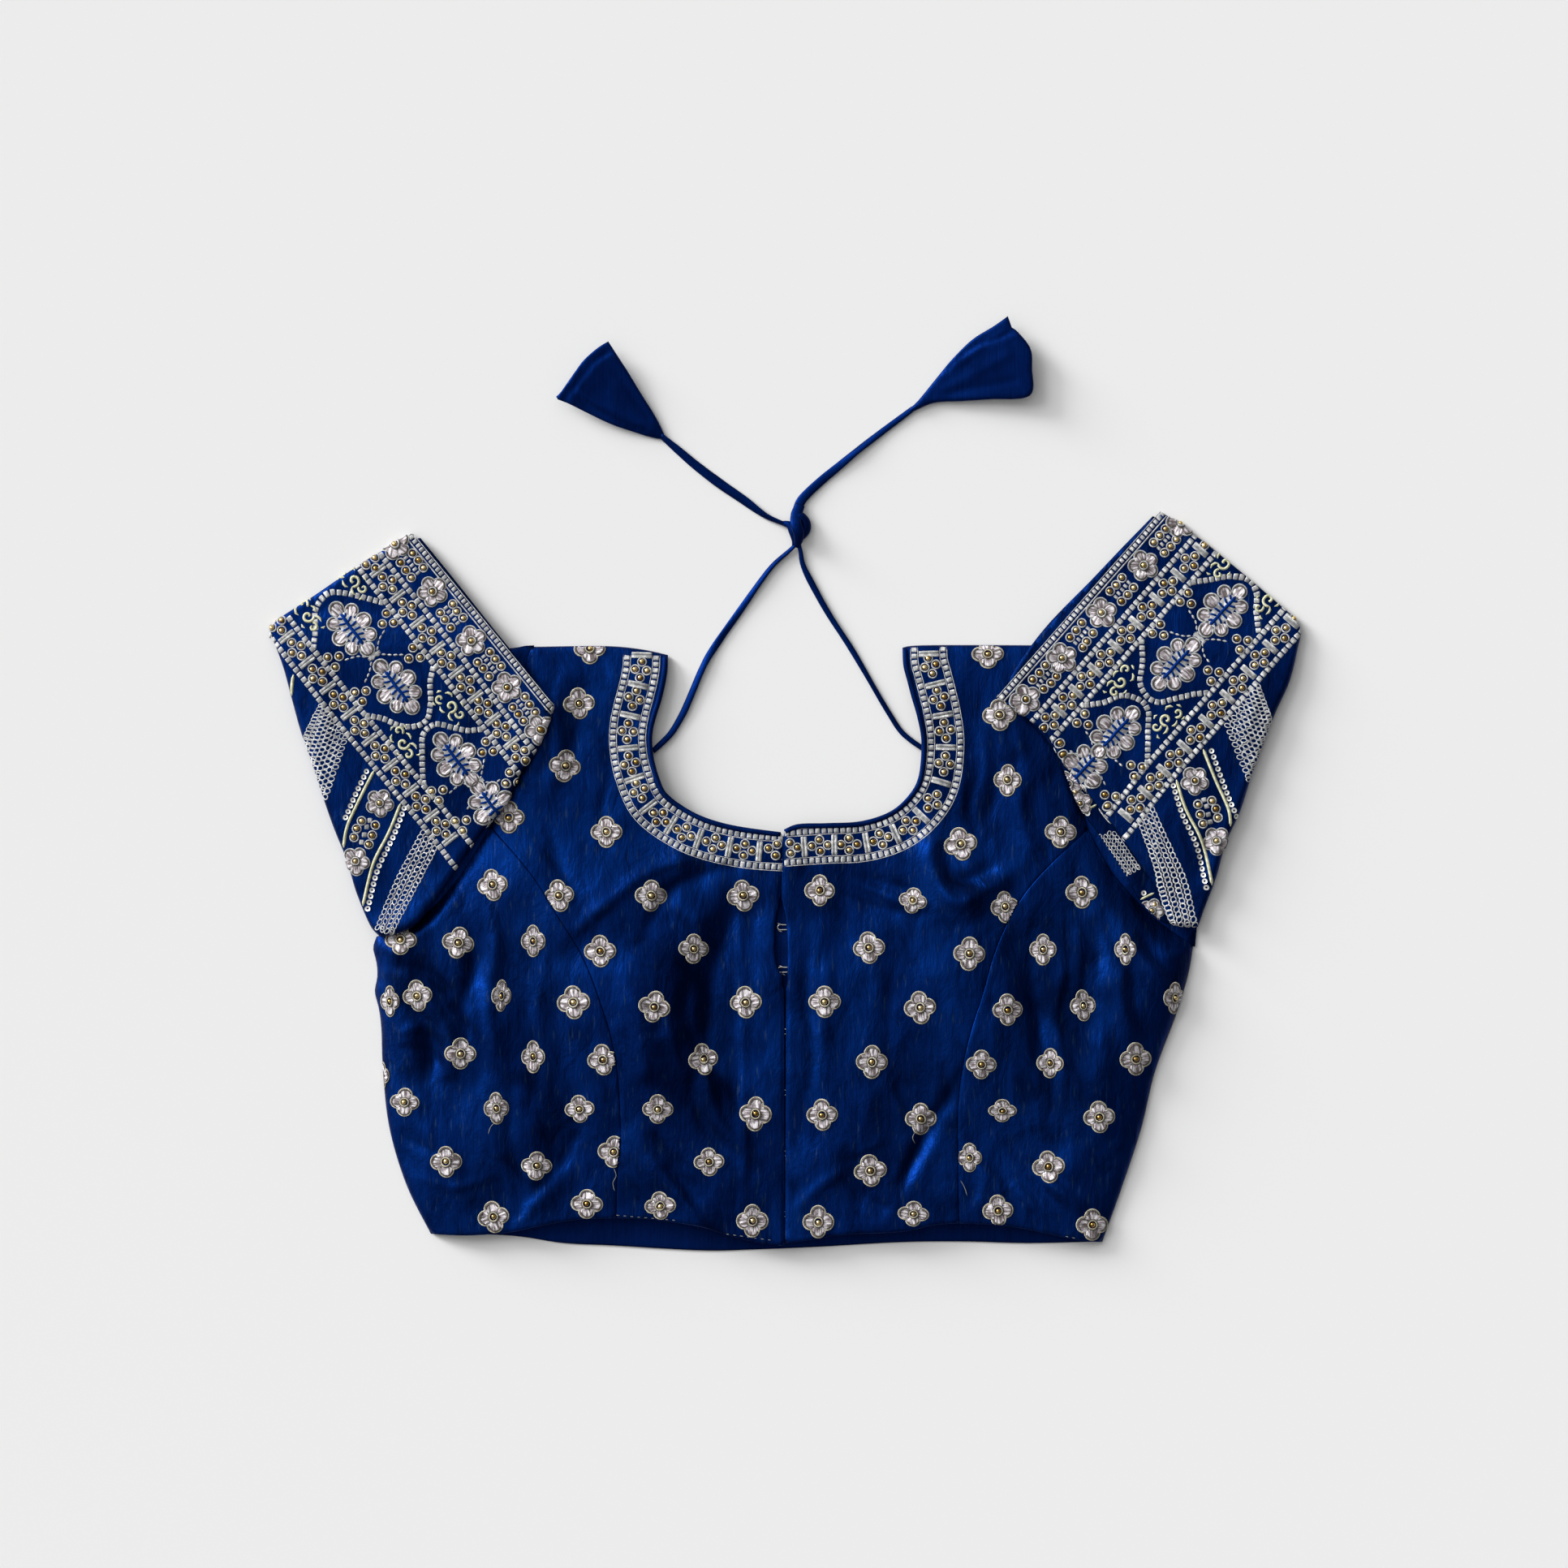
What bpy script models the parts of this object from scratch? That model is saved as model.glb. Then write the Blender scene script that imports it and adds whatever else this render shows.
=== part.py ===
"""Choli (saree) blouse laid flat, front side up, elbow sleeves turned back over the front.

The pattern is drafted on a grid whose unit is GRID millimetres, x to the right and y down the page;
the grid point (CENTRE_X, CENTRE_Y) lies over the origin. World: metres, +X right, +Y towards the neck, +Z up.
Every cloth piece is a wall: its outline comes from the seam and edge curves, its height from front_top() and the
sleeve functions, and its thickness from Solidify.
"""
import math

import bmesh
import bpy
from mathutils import Vector
from mathutils.geometry import delaunay_2d_cdt

for old in list(bpy.data.objects):
    bpy.data.objects.remove(old)

# ------------------------------------------------------------------ sizes
GRID = 0.465            # mm per drafting unit
CENTRE_X, CENTRE_Y = 967.0, 1085.0
MM = 0.001
CLOTH = 1.2             # mm, two plies of silk with interlining
GAP = 0.32              # mm between pieces at a seam
LATTICE = 14.5          # mm between surface points
SIDE_Z = CLOTH + GAP + CLOTH    # top of the front where it is sewn to the back
EDGE_ROLL = 18.0        # mm over which the front rises from its closed edges
FLAP_ROLL = 6.5         # mm radius of the sleeve's folds
FLAP_AIR = 1.1          # mm of air between the turned sleeve's two layers
CUFF_MOUTH = 2.2        # mm more at the middle of the cuff
PIPING_R = 1.7          # mm, rolled neck binding
DORI_D = 4.5            # mm, tie
HOOK_D = 0.8            # mm, hook wire
HOOK_ROOM = 2.1         # mm between the front's underside and the underlap

# ------------------------------------------------------------------ curves, drafting units (x, y)
SIDE_LEFT = ((470, 1165), (465, 1200), (468, 1250), (471, 1320), (480, 1390), (501, 1460), (531, 1520))
SIDE_RIGHT = ((1470, 1165), (1464, 1200), (1449, 1250), (1423, 1320), (1406, 1390), (1383, 1460), (1358, 1530))
SHOULDER_LEFT = ((655, 797), (745, 796), (790, 800), (823, 807))
SHOULDER_RIGHT = ((1112, 798), (1140, 795), (1279, 795))
NECK_LEFT = ((823, 808), (822, 830), (816, 860), (809, 883), (805, 900), (804, 916), (807, 940), (817, 970),
             (828, 983), (845, 995), (864, 1005), (887, 1013), (915, 1019), (962, 1025))
NECK_RIGHT = ((1112, 798), (1113, 820), (1118, 840), (1123, 860), (1130, 885), (1135, 915), (1132, 955),
              (1120, 979), (1096, 1000), (1060, 1012), (1020, 1014), (984, 1015), (966, 1022))
ARMHOLE_LEFT_UP = ((655, 797), (640, 850), (627, 910), (613, 970), (604, 1018))
ARMHOLE_LEFT_LOW = ((604, 1018), (570, 1075), (522, 1128), (470, 1165))
ARMHOLE_RIGHT_UP = ((1279, 795), (1294, 850), (1309, 910), (1325, 970), (1340, 1022))
ARMHOLE_RIGHT_LOW = ((1340, 1022), (1372, 1078), (1420, 1130), (1470, 1165))
PRINCESS_LEFT = ((604, 1018), (654, 1075), (686, 1125), (719, 1179), (744, 1243), (758, 1296), (764, 1350),
                 (765, 1404), (761, 1450), (760, 1500))
PRINCESS_RIGHT = ((1340, 1022), (1295, 1063), (1262, 1100), (1240, 1137), (1223, 1178), (1210, 1224), (1195, 1270),
                  (1185, 1315), (1180, 1363), (1180, 1426), (1181, 1506))
# the front opening: it gapes between the second and third hook and shows the underlap
OPEN_LEFT = ((962, 1025), (961, 1105), (957, 1128), (955, 1150), (956, 1182), (961, 1198), (965, 1230), (966, 1532))
OPEN_RIGHT = ((966, 1022), (964, 1105), (968, 1130), (970, 1160), (970, 1210), (968, 1530))
HEM_SIDE_LEFT = ((531, 1520), (580, 1521), (630, 1517), (672, 1508), (717, 1501), (760, 1500))
HEM_CENTRE_LEFT = ((760, 1500), (801, 1501), (863, 1510), (897, 1521), (940, 1531), (966, 1532))
HEM_CENTRE_RIGHT = ((968, 1530), (1000, 1526), (1040, 1520), (1086, 1518), (1120, 1515), (1150, 1508), (1181, 1506))
HEM_SIDE_RIGHT = ((1181, 1506), (1228, 1508), (1268, 1514), (1308, 1523), (1335, 1528), (1358, 1530))
BACK_HEM = ((531, 1520), (590, 1521), (641, 1524), (695, 1532), (756, 1535), (863, 1541), (925, 1540),
            (1000, 1537), (1107, 1531), (1187, 1530), (1268, 1532), (1358, 1530))
BACK_NECK = ((816, 812), (808, 862), (797, 900), (796, 922), (799, 945), (809, 975), (821, 990), (846, 1007), (880, 1019),
             (967, 1030), (1062, 1019), (1100, 1007), (1126, 984), (1140, 957), (1143, 915), (1126, 850), (1120, 808))
# the turned-back sleeves: A cuff at the top fold, D outer corner, C underarm, B cuff at the underarm
CUFF_L = ((683, 875), (655, 832), (609, 775), (561, 715), (512, 655))
TOP_FOLD_L = ((512, 655), (445, 695), (386, 735), (345, 762), (333, 778))
TURN_L = ((333, 778), (349, 820), (360, 860), (371, 900), (385, 940), (398, 980), (412, 1020), (428, 1060),
          (440, 1100), (457, 1140), (470, 1154))
UNDERARM_L = ((470, 1154), (493, 1149), (516, 1137), (543, 1102), (567, 1065), (597, 1023), (625, 990), (641, 955),
              (661, 927), (683, 875))
CUFF_R = ((1427, 629), (1382, 675), (1344, 715), (1286, 775), (1247, 830), (1235, 865))
TOP_FOLD_R = ((1590, 757), (1541, 715), (1492, 675), (1455, 647), (1427, 629))
TURN_R = ((1475, 1142), (1483, 1120), (1498, 1080), (1509, 1040), (1527, 1000), (1540, 960), (1555, 920),
          (1570, 880), (1588, 840), (1598, 800), (1602, 775), (1590, 757))
UNDERARM_R = ((1235, 865), (1287, 903), (1302, 929), (1334, 971), (1367, 1013), (1390, 1044), (1410, 1075),
              (1425, 1097), (1440, 1136), (1475, 1142))
UNDERLAYER_R = ((1246, 868), (1287, 911), (1303, 935), (1316, 967), (1331, 999), (1355, 1032), (1385, 1077),
                (1401, 1107), (1430, 1136), (1452, 1138))
# rise of the front by level: y, mm
RISE = ((797, 2.6), (900, 4.0), (1000, 6.0), (1100, 9.0), (1200, 10.5), (1300, 9.5), (1400, 7.5), (1500, 6.2),
        (1545, 6.0))
# largest soft mounds and troughs of the front: x0, y0, x1, y1, half width in mm, height in mm
FOLDS = (
    (770, 1130, 800, 1270, 34.0, 4.0),      # bust fullness, left
    (1150, 1130, 1170, 1270, 34.0, 4.0),    # bust fullness, right
    (915, 1130, 905, 1290, 16.0, -3.4),     # hollow beside the opening
    (640, 1130, 650, 1290, 16.0, -2.6),     # hollow at the left side
    (1330, 1120, 1345, 1250, 14.0, -2.4),   # hollow at the right side
    (1150, 1050, 1200, 1105, 9.0, 1.8),     # fold off the right neck edge
    (720, 1140, 830, 1060, 9.0, 1.6),       # fold off the left princess seam
    (815, 1425, 870, 1500, 10.0, 1.5),
    (1140, 1430, 1090, 1500, 10.0, 1.5),
)


# ------------------------------------------------------------------ drafting
def mm(point):
    return ((point[0] - CENTRE_X) * GRID, (CENTRE_Y - point[1]) * GRID)


def smooth(table, step):
    """A smooth curve through the table's points, in mm, with points about step mm apart."""
    pts = [mm(p) for p in table]
    fine = []
    for i in range(len(pts) - 1):
        a = pts[max(i - 1, 0)]
        b, c = pts[i], pts[i + 1]
        d = pts[min(i + 2, len(pts) - 1)]
        for k in range(10):
            t = k / 10.0
            fine.append(tuple(
                0.5 * (2 * b[j] + (c[j] - a[j]) * t + (2 * a[j] - 5 * b[j] + 4 * c[j] - d[j]) * t * t
                       + (3 * b[j] - a[j] - 3 * c[j] + d[j]) * t ** 3) for j in (0, 1)))
    fine.append(pts[-1])
    return resample(fine, step)


def resample(fine, step):
    run = [0.0]
    for p, q in zip(fine, fine[1:]):
        run.append(run[-1] + math.dist(p, q))
    count = max(1, round(run[-1] / step))
    out, i = [], 0
    for k in range(count + 1):
        want = run[-1] * k / count
        while i < len(run) - 2 and run[i + 1] < want:
            i += 1
        t = (want - run[i]) / max(run[i + 1] - run[i], 1e-9)
        out.append(tuple(fine[i][j] + (fine[i + 1][j] - fine[i][j]) * t for j in (0, 1)))
    return out


def outline(step, *tables):
    """A closed loop of the curves end to end, counter-clockwise. A curve is turned round where its far end is nearer."""
    loop = []
    for n, table in enumerate(tables):
        part = smooth(table, step)
        if n == 0:
            ahead = [mm(tables[1][0]), mm(tables[1][-1])]
            if min(math.dist(part[0], q) for q in ahead) < min(math.dist(part[-1], q) for q in ahead):
                part.reverse()
        elif math.dist(part[-1], loop[-1]) < math.dist(part[0], loop[-1]):
            part.reverse()
        for p in part:
            if not loop or math.dist(p, loop[-1]) > 1.2:
                loop.append(p)
    if math.dist(loop[0], loop[-1]) < 1.2:
        loop.pop()
    area = sum(p[0] * q[1] - q[0] * p[1] for p, q in zip(loop, loop[1:] + loop[:1]))
    return loop if area > 0 else loop[::-1]


def inset(loop, by):
    """The loop moved inwards by that many mm; by may be a function of the point."""
    out, n = [], len(loop)
    for i, p in enumerate(loop):
        a, b = loop[i - 1], loop[(i + 1) % n]
        d1 = (p[0] - a[0], p[1] - a[1])
        d2 = (b[0] - p[0], b[1] - p[1])
        l1, l2 = math.hypot(*d1), math.hypot(*d2)
        n1 = (-d1[1] / l1, d1[0] / l1)
        n2 = (-d2[1] / l2, d2[0] / l2)
        m = (n1[0] + n2[0], n1[1] + n2[1])
        k = max(m[0] * m[0] + m[1] * m[1], 0.9)
        g = by(p) if callable(by) else by
        out.append((p[0] + 2 * g * m[0] / k, p[1] + 2 * g * m[1] / k))
    return out


def to_line(x, y, line, closed=False):
    best = 1e9
    ends = line[1:] + line[:1] if closed else line[1:]
    for (ax, ay), (bx, by) in zip(line, ends):
        dx, dy = bx - ax, by - ay
        t = max(0.0, min(1.0, ((x - ax) * dx + (y - ay) * dy) / max(dx * dx + dy * dy, 1e-9)))
        best = min(best, (x - ax - t * dx) ** 2 + (y - ay - t * dy) ** 2)
    return math.sqrt(best)


def inside(x, y, loop):
    odd = False
    for (ax, ay), (bx, by) in zip(loop, loop[1:] + loop[:1]):
        if (ay > y) != (by > y) and x < ax + (y - ay) * (bx - ax) / (by - ay):
            odd = not odd
    return odd


# ------------------------------------------------------------------ heights, mm
CLOSED_EDGES = [smooth(t, 9.0) for t in (SIDE_LEFT, SIDE_RIGHT, SHOULDER_LEFT, SHOULDER_RIGHT, ARMHOLE_LEFT_UP,
                                         ARMHOLE_LEFT_LOW, ARMHOLE_RIGHT_UP, ARMHOLE_RIGHT_LOW)]
BODY = outline(9.0, SIDE_LEFT, ARMHOLE_LEFT_LOW, ARMHOLE_LEFT_UP, SHOULDER_LEFT, NECK_LEFT, NECK_RIGHT,
               SHOULDER_RIGHT, ARMHOLE_RIGHT_UP, ARMHOLE_RIGHT_LOW, SIDE_RIGHT, HEM_SIDE_RIGHT, HEM_CENTRE_RIGHT,
               HEM_CENTRE_LEFT, HEM_SIDE_LEFT)


def by_level(table, y):
    """Eased value of a (level, value) table at y in mm."""
    g = CENTRE_Y - y / GRID
    if g <= table[0][0]:
        return table[0][1]
    for (a, u), (b, v) in zip(table, table[1:]):
        if g <= b:
            t = (g - a) / (b - a)
            return u + (v - u) * t
    return table[-1][1]


def front_top(x, y):
    """Top of the front's cloth."""
    edge = min(to_line(x, y, line) for line in CLOSED_EDGES)
    rise = by_level(RISE, y)
    for x0, y0, x1, y1, wide, high in FOLDS:
        d = to_line(x, y, [mm((x0, y0)), mm((x1, y1))])
        rise += high * math.exp(-(d / wide) ** 2)
    return SIDE_Z + rise * (1.0 - math.exp(-edge / EDGE_ROLL))


class Sleeve:
    """The turned-back sleeve: outline of what shows, the layer under it and the stretch between armhole and fold."""

    def __init__(self, cuff, top_fold, turn, underarm, underlayer, armhole_up, armhole_low, shoulder_y, side):
        self.top = outline(LATTICE * 0.75, cuff, top_fold, turn, underarm)
        self.fold_line = smooth(top_fold, 9.0), smooth(turn, 9.0)
        self.low_line = smooth(underarm, 9.0)
        self.cuff = smooth(cuff, 9.0)
        self.side = side
        low = underlayer or underarm
        self.under = inset(outline(LATTICE * 0.85, cuff, top_fold, turn, low),
                           lambda p: 4.2 if not underlayer or to_line(*p, smooth(underlayer, 9.0)) > 6 else 0.0)
        tip = (turn[0] if side < 0 else turn[-1])
        foot = (turn[-1] if side < 0 else turn[0])
        upper_x = tip[0] - side * 10
        top_edge = ((upper_x, shoulder_y + 4), (armhole_up[0][0], shoulder_y + 1))
        turned = [p for p in turn if p[1] > shoulder_y + 6]
        self.inner = inset(outline(LATTICE * 0.9, top_edge, armhole_up, armhole_low, tuple(turned)),
                           lambda p: 4.6 if min(to_line(*p, l) for l in self.fold_line) < 5 else GAP / 2)

    def inner_top(self, x, y):
        return SIDE_Z + 1.0 * (1 - math.exp(-to_line(x, y, self.inner, True) / 10.0))

    def support(self, x, y):
        if inside(x, y, BODY):
            return front_top(x, y)
        if inside(x, y, self.inner):
            return self.inner_top(x, y)
        return 0.0

    def lifted(self, x, y):
        """The support as cloth meets it: bridged over steps."""
        def high(u, v):
            return max([self.support(u, v)] + [self.support(u + 11 * math.cos(a), v + 11 * math.sin(a))
                                               for a in (k * math.pi / 6 for k in range(12))])
        around = [high(x, y)] + [high(x + 9 * math.cos(a), y + 9 * math.sin(a))
                                 for a in (k * math.pi / 3 for k in range(6))]
        return sum(around) / len(around)

    def under_top(self, x, y):
        s = self.lifted(x, y)
        return s + 0.55 * min(1.0, s) + CLOTH

    def flap_top(self, x, y):
        high = self.under_top(x, y) + FLAP_AIR + CLOTH
        mouth = to_line(x, y, self.cuff)
        rim = min(to_line(x, y, l) for l in self.fold_line)
        low = to_line(x, y, self.low_line)
        swell = 1 - math.exp(-min(rim, low) / 26.0)
        high += CUFF_MOUTH * swell * math.exp(-mouth / 45.0) + 1.2 * swell
        part = rim / (rim + low + 0.001)
        foot = 1.0 + part * ((self.lifted(x, y) if self.side < 0 else self.under_top(x, y)) + CLOTH + 0.1)
        d = min(rim, low) / FLAP_ROLL
        turn = math.sqrt(1 - (1 - d) ** 2) if d < 1 else 1.0
        return foot + (high - foot) * turn


# ------------------------------------------------------------------ building
garment = bpy.data.collections.new("choli_blouse")
bpy.context.scene.collection.children.link(garment)


def material(name, colour, roughness, metallic=0.0):
    m = bpy.data.materials.new(name)
    m.use_nodes = True
    b = m.node_tree.nodes["Principled BSDF"]
    b.inputs["Base Color"].default_value = (*colour, 1.0)
    b.inputs["Roughness"].default_value = roughness
    b.inputs["Metallic"].default_value = metallic
    m.diffuse_color = (*colour, 1.0)
    return m


def add(name, data, colour, roughness=0.45, metallic=0.0):
    ob = bpy.data.objects.new(name, data)
    garment.objects.link(ob)
    data.materials.append(material(name, colour, roughness, metallic))
    return ob


SATIN = (0.004, 0.028, 0.19)
PLAIN = (0.003, 0.016, 0.11)
STEEL = (0.7, 0.7, 0.68)


def tessellate(loop, rings=(), lattice=LATTICE):
    """Points and triangles of a flat outline: its edge, rings inside the edge, and the garment's common lattice."""
    pts = list(loop)
    for r in rings:
        pts += [p for p in inset(loop, r) if inside(*p, loop) and to_line(*p, loop, True) > 0.8 * r]
    clear = (max(rings) if rings else 0.0) + 0.5 * lattice
    row = lattice * math.sqrt(3) / 2
    xs = [p[0] for p in loop]
    ys = [p[1] for p in loop]
    for j in range(math.floor(min(ys) / row), math.ceil(max(ys) / row) + 1):
        for i in range(math.floor(min(xs) / lattice) - 1, math.ceil(max(xs) / lattice) + 1):
            x, y = (i + 0.5 * (j % 2)) * lattice, j * row
            if inside(x, y, loop) and to_line(x, y, loop, True) > clear:
                pts.append((x, y))
    n = len(loop)
    got = delaunay_2d_cdt([Vector(p) for p in pts], [(i, (i + 1) % n) for i in range(n)], [list(range(n))], 1, 1e-5)
    return [(v[0], v[1]) for v in got[0]], [tuple(f) for f in got[2]]


def wall(name, loop, height, colour, rings=(), thick=CLOTH, lattice=LATTICE):
    """Cloth: an open surface at its top height, thickened downwards."""
    pts, faces = tessellate(loop, rings, lattice)
    me = bpy.data.meshes.new(name)
    me.from_pydata([(x * MM, y * MM, height(x, y) * MM) for x, y in pts], [], faces)
    me.shade_smooth()
    ob = add(name, me, colour)
    solid = ob.modifiers.new("cloth", "SOLIDIFY")
    solid.thickness = thick * MM
    solid.offset = -1.0
    return ob


def slab(name, loop, top, colour, bottom=0.0):
    """A solid with a flat underside and a rounded top."""
    pts, faces = tessellate(loop)
    n = len(pts)
    verts = [(x * MM, y * MM, top(x, y) * MM) for x, y in pts] + [(x * MM, y * MM, bottom * MM) for x, y in pts]
    count = {}
    for f in faces:
        for a, b in zip(f, f[1:] + f[:1]):
            count[(a, b)] = 1
    rim = [(a, b) for a, b in count if (b, a) not in count]
    faces = list(faces) + [tuple(i + n for i in reversed(f)) for f in faces] + [(b, a, a + n, b + n) for a, b in rim]
    me = bpy.data.meshes.new(name)
    me.from_pydata(verts, [], faces)
    return add(name, me, colour)


def tube(name, points, radius, colour, resolution=2, **kw):
    cu = bpy.data.curves.new(name, "CURVE")
    cu.dimensions = "3D"
    cu.bevel_depth = radius * MM
    cu.bevel_resolution = resolution
    cu.use_fill_caps = True
    sp = cu.splines.new("POLY")
    sp.points.add(len(points) - 1)
    for q, p in zip(sp.points, points):
        q.co = (p[0] * MM, p[1] * MM, p[2] * MM, 1.0)
    return add(name, cu, colour, **kw)


# ------------------------------------------------------------------ back
# the binding stands between the neck edge curve and the panel, so the panels start this far outside it
BOUND = 2 * PIPING_R + GAP

slab("back_panel", inset(outline(13.0, BACK_HEM, SIDE_RIGHT, ARMHOLE_RIGHT_LOW, ARMHOLE_RIGHT_UP, SHOULDER_RIGHT,
                                 BACK_NECK[::-1], SHOULDER_LEFT, ARMHOLE_LEFT_UP, ARMHOLE_LEFT_LOW, SIDE_LEFT),
                         lambda p: GAP / 2 if abs(p[0]) > 120 and p[1] > -40 else 0.0),
     lambda x, y: CLOTH, PLAIN)

# ------------------------------------------------------------------ fronts
neck_lines = {-1: smooth(NECK_LEFT, 6.0), 1: smooth(NECK_RIGHT, 6.0)}


def front_inset(side):
    line = neck_lines[side]

    def by(p):
        return BOUND + GAP / 2 if to_line(*p, line) < 1.0 else GAP / 2
    return by


wall("front_centre_left", inset(outline(12.0, SHOULDER_LEFT, NECK_LEFT, OPEN_LEFT, HEM_CENTRE_LEFT, PRINCESS_LEFT,
                                        ARMHOLE_LEFT_UP), front_inset(-1)), front_top, SATIN)
wall("front_centre_right", inset(outline(12.0, SHOULDER_RIGHT, NECK_RIGHT, OPEN_RIGHT, HEM_CENTRE_RIGHT,
                                         PRINCESS_RIGHT, ARMHOLE_RIGHT_UP), front_inset(1)), front_top, SATIN)
wall("front_side_left", inset(outline(12.0, ARMHOLE_LEFT_LOW, PRINCESS_LEFT, HEM_SIDE_LEFT, SIDE_LEFT), GAP / 2),
     front_top, SATIN)
wall("front_side_right", inset(outline(12.0, ARMHOLE_RIGHT_LOW, PRINCESS_RIGHT, HEM_SIDE_RIGHT, SIDE_RIGHT), GAP / 2),
     front_top, SATIN)

# neck binding, a rolled strip along each half of the front neck edge
for side, name in ((-1, "neck_piping_left"), (1, "neck_piping_right")):
    line = neck_lines[side]
    run = []
    for i, p in enumerate(line):
        a, b = line[max(i - 1, 0)], line[min(i + 1, len(line) - 1)]
        t = (b[0] - a[0], b[1] - a[1])
        k = math.hypot(*t)
        out = (t[1] / k * -side, -t[0] / k * -side)
        x, y = p[0] - out[0] * PIPING_R, p[1] - out[1] * PIPING_R
        run.append((x, y, front_top(x, y) - 0.5))
    run[-1] = (run[-1][0] + side * 0.5, run[-1][1], run[-1][2])
    tube(name, run, PIPING_R, PLAIN)

# the strip under the opening
UNDERLAP = ((944, 1036), (984, 1036), (984, 1527), (944, 1527))
wall("placket_underlap", outline(12.0, UNDERLAP[0:2], UNDERLAP[1:3], UNDERLAP[2:4], (UNDERLAP[3], UNDERLAP[0])),
     lambda x, y: front_top(x, y) - CLOTH - HOOK_ROOM - 0.1, PLAIN)

# ------------------------------------------------------------------ hooks, bent wire across the opening
HOOK_LEVELS = (1062, 1142, 1194, 1270, 1345, 1420, 1495)
for n, level in enumerate(HOOK_LEVELS, 1):
    cx, cy = mm((967, level))
    run = []
    for k in range(9):
        a = math.pi * (0.5 + k / 8.0)
        run.append((cx - 2.6 + 1.5 * math.cos(a), cy + 1.5 * math.sin(a)))
    run = [(cx + 3.4, cy + 1.5)] + run + [(cx + 3.4, cy - 1.5)]
    z = front_top(cx, cy) - CLOTH - HOOK_ROOM / 2 - 0.08
    tube("hook_%d" % n, [(x, y, z) for x, y in run], HOOK_D / 2, STEEL, resolution=1, roughness=0.3, metallic=1.0)

# ------------------------------------------------------------------ sleeves
sleeves = {
    "left": Sleeve(CUFF_L, TOP_FOLD_L, TURN_L, UNDERARM_L, None, ARMHOLE_LEFT_UP, ARMHOLE_LEFT_LOW, 797, -1),
    "right": Sleeve(CUFF_R, TOP_FOLD_R, TURN_R, UNDERARM_R, UNDERLAYER_R, ARMHOLE_RIGHT_UP, ARMHOLE_RIGHT_LOW, 795, 1),
}
for word, s in sleeves.items():
    slab("sleeve_%s_inner" % word, s.inner, s.inner_top, PLAIN)
    wall("sleeve_%s_under" % word, s.under, s.under_top, SATIN)
    wall("sleeve_%s" % word, s.top, s.flap_top, SATIN, rings=(1.6, 4.6))

# ------------------------------------------------------------------ ties
DORI_LEFT_LOW = ((804.5, 925.5), (816, 915), (828, 902), (841, 880), (850, 860), (867, 820), (882, 795), (910, 755), (938, 715),
                 (954, 695), (977.5, 674.2))
DORI_RIGHT_LOW = ((1138, 923), (1122, 912), (1109, 900), (1096, 880), (1084, 860), (1061, 820), (1046, 795),
                  (1020, 755), (998, 715), (989, 695), (986.4, 676.4))
DORI_LEFT_UP = ((970.2, 646.8), (944, 636), (916, 616), (887, 596), (858, 574), (838, 557), (820, 541.5))
DORI_RIGHT_UP = ((982.6, 629), (988, 616), (1009, 595), (1033, 575), (1057, 555), (1083, 535), (1118, 508.6))
for name, table in (("dori_left_lower", DORI_LEFT_LOW), ("dori_right_lower", DORI_RIGHT_LOW),
                    ("dori_left_upper", DORI_LEFT_UP), ("dori_right_upper", DORI_RIGHT_UP)):
    tube(name, [(x, y, DORI_D / 2 + 0.1) for x, y in smooth(table, 7.5)], DORI_D / 2, PLAIN)

KNOT = (984.5, 653.0)
KNOT_SIZE = (12.0, 20.0, 8.6)
ball = bmesh.new()
bmesh.ops.create_uvsphere(ball, u_segments=14, v_segments=9, radius=0.5)
knot_mesh = bpy.data.meshes.new("dori_knot")
ball.to_mesh(knot_mesh)
ball.free()
knot = add("dori_knot", knot_mesh, PLAIN)
kx, ky = mm(KNOT)
for v in knot.data.vertices:
    v.co = ((kx + v.co.x * KNOT_SIZE[0]) * MM, (ky + v.co.y * KNOT_SIZE[1]) * MM,
            (max(v.co.z, -0.44) + 0.44) * KNOT_SIZE[2] * MM)

FLAG_LEFT = ((750, 422), (737, 430), (720, 445), (708, 461), (692, 484), (686, 492), (702, 499), (750, 522),
             (779, 532), (802, 539), (816, 541), (819, 537), (808, 514), (790, 485), (773, 457))
FLAG_RIGHT = ((1241, 391), (1224, 403), (1198, 419), (1175, 441), (1158, 461), (1131, 494), (1118, 506), (1121, 509),
              (1150, 497), (1183, 495), (1219, 493), (1268, 489), (1271, 455), (1269, 431), (1254, 411), (1246, 405))
for name, table in (("dori_flag_left", FLAG_LEFT), ("dori_flag_right", FLAG_RIGHT)):
    loop = outline(6.0, table, (table[-1], table[0]))
    slab(name, loop, lambda x, y, l=loop: 2.5 + 1.1 * (1 - math.exp(-to_line(x, y, l, True) / 6.0)), PLAIN)
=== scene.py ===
"""Looks of the choli (saree) blouse laid flat, front side up, elbow sleeves turned back over the front.

Lengths inside this file are millimetres, and the meshes are written in metres. Edge and seam curves are drafted on the
pattern grid, whose unit is GRID mm, x to the right and y down, with (CENTRE_X, CENTRE_Y) over the origin. Cloth is a
thin shell, and the embroidery is laid on it by surface functions that give a point and a normal for a place on the cloth.
"""
import math

import bpy
import numpy as np
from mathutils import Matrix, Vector
from mathutils.geometry import delaunay_2d_cdt


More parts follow.
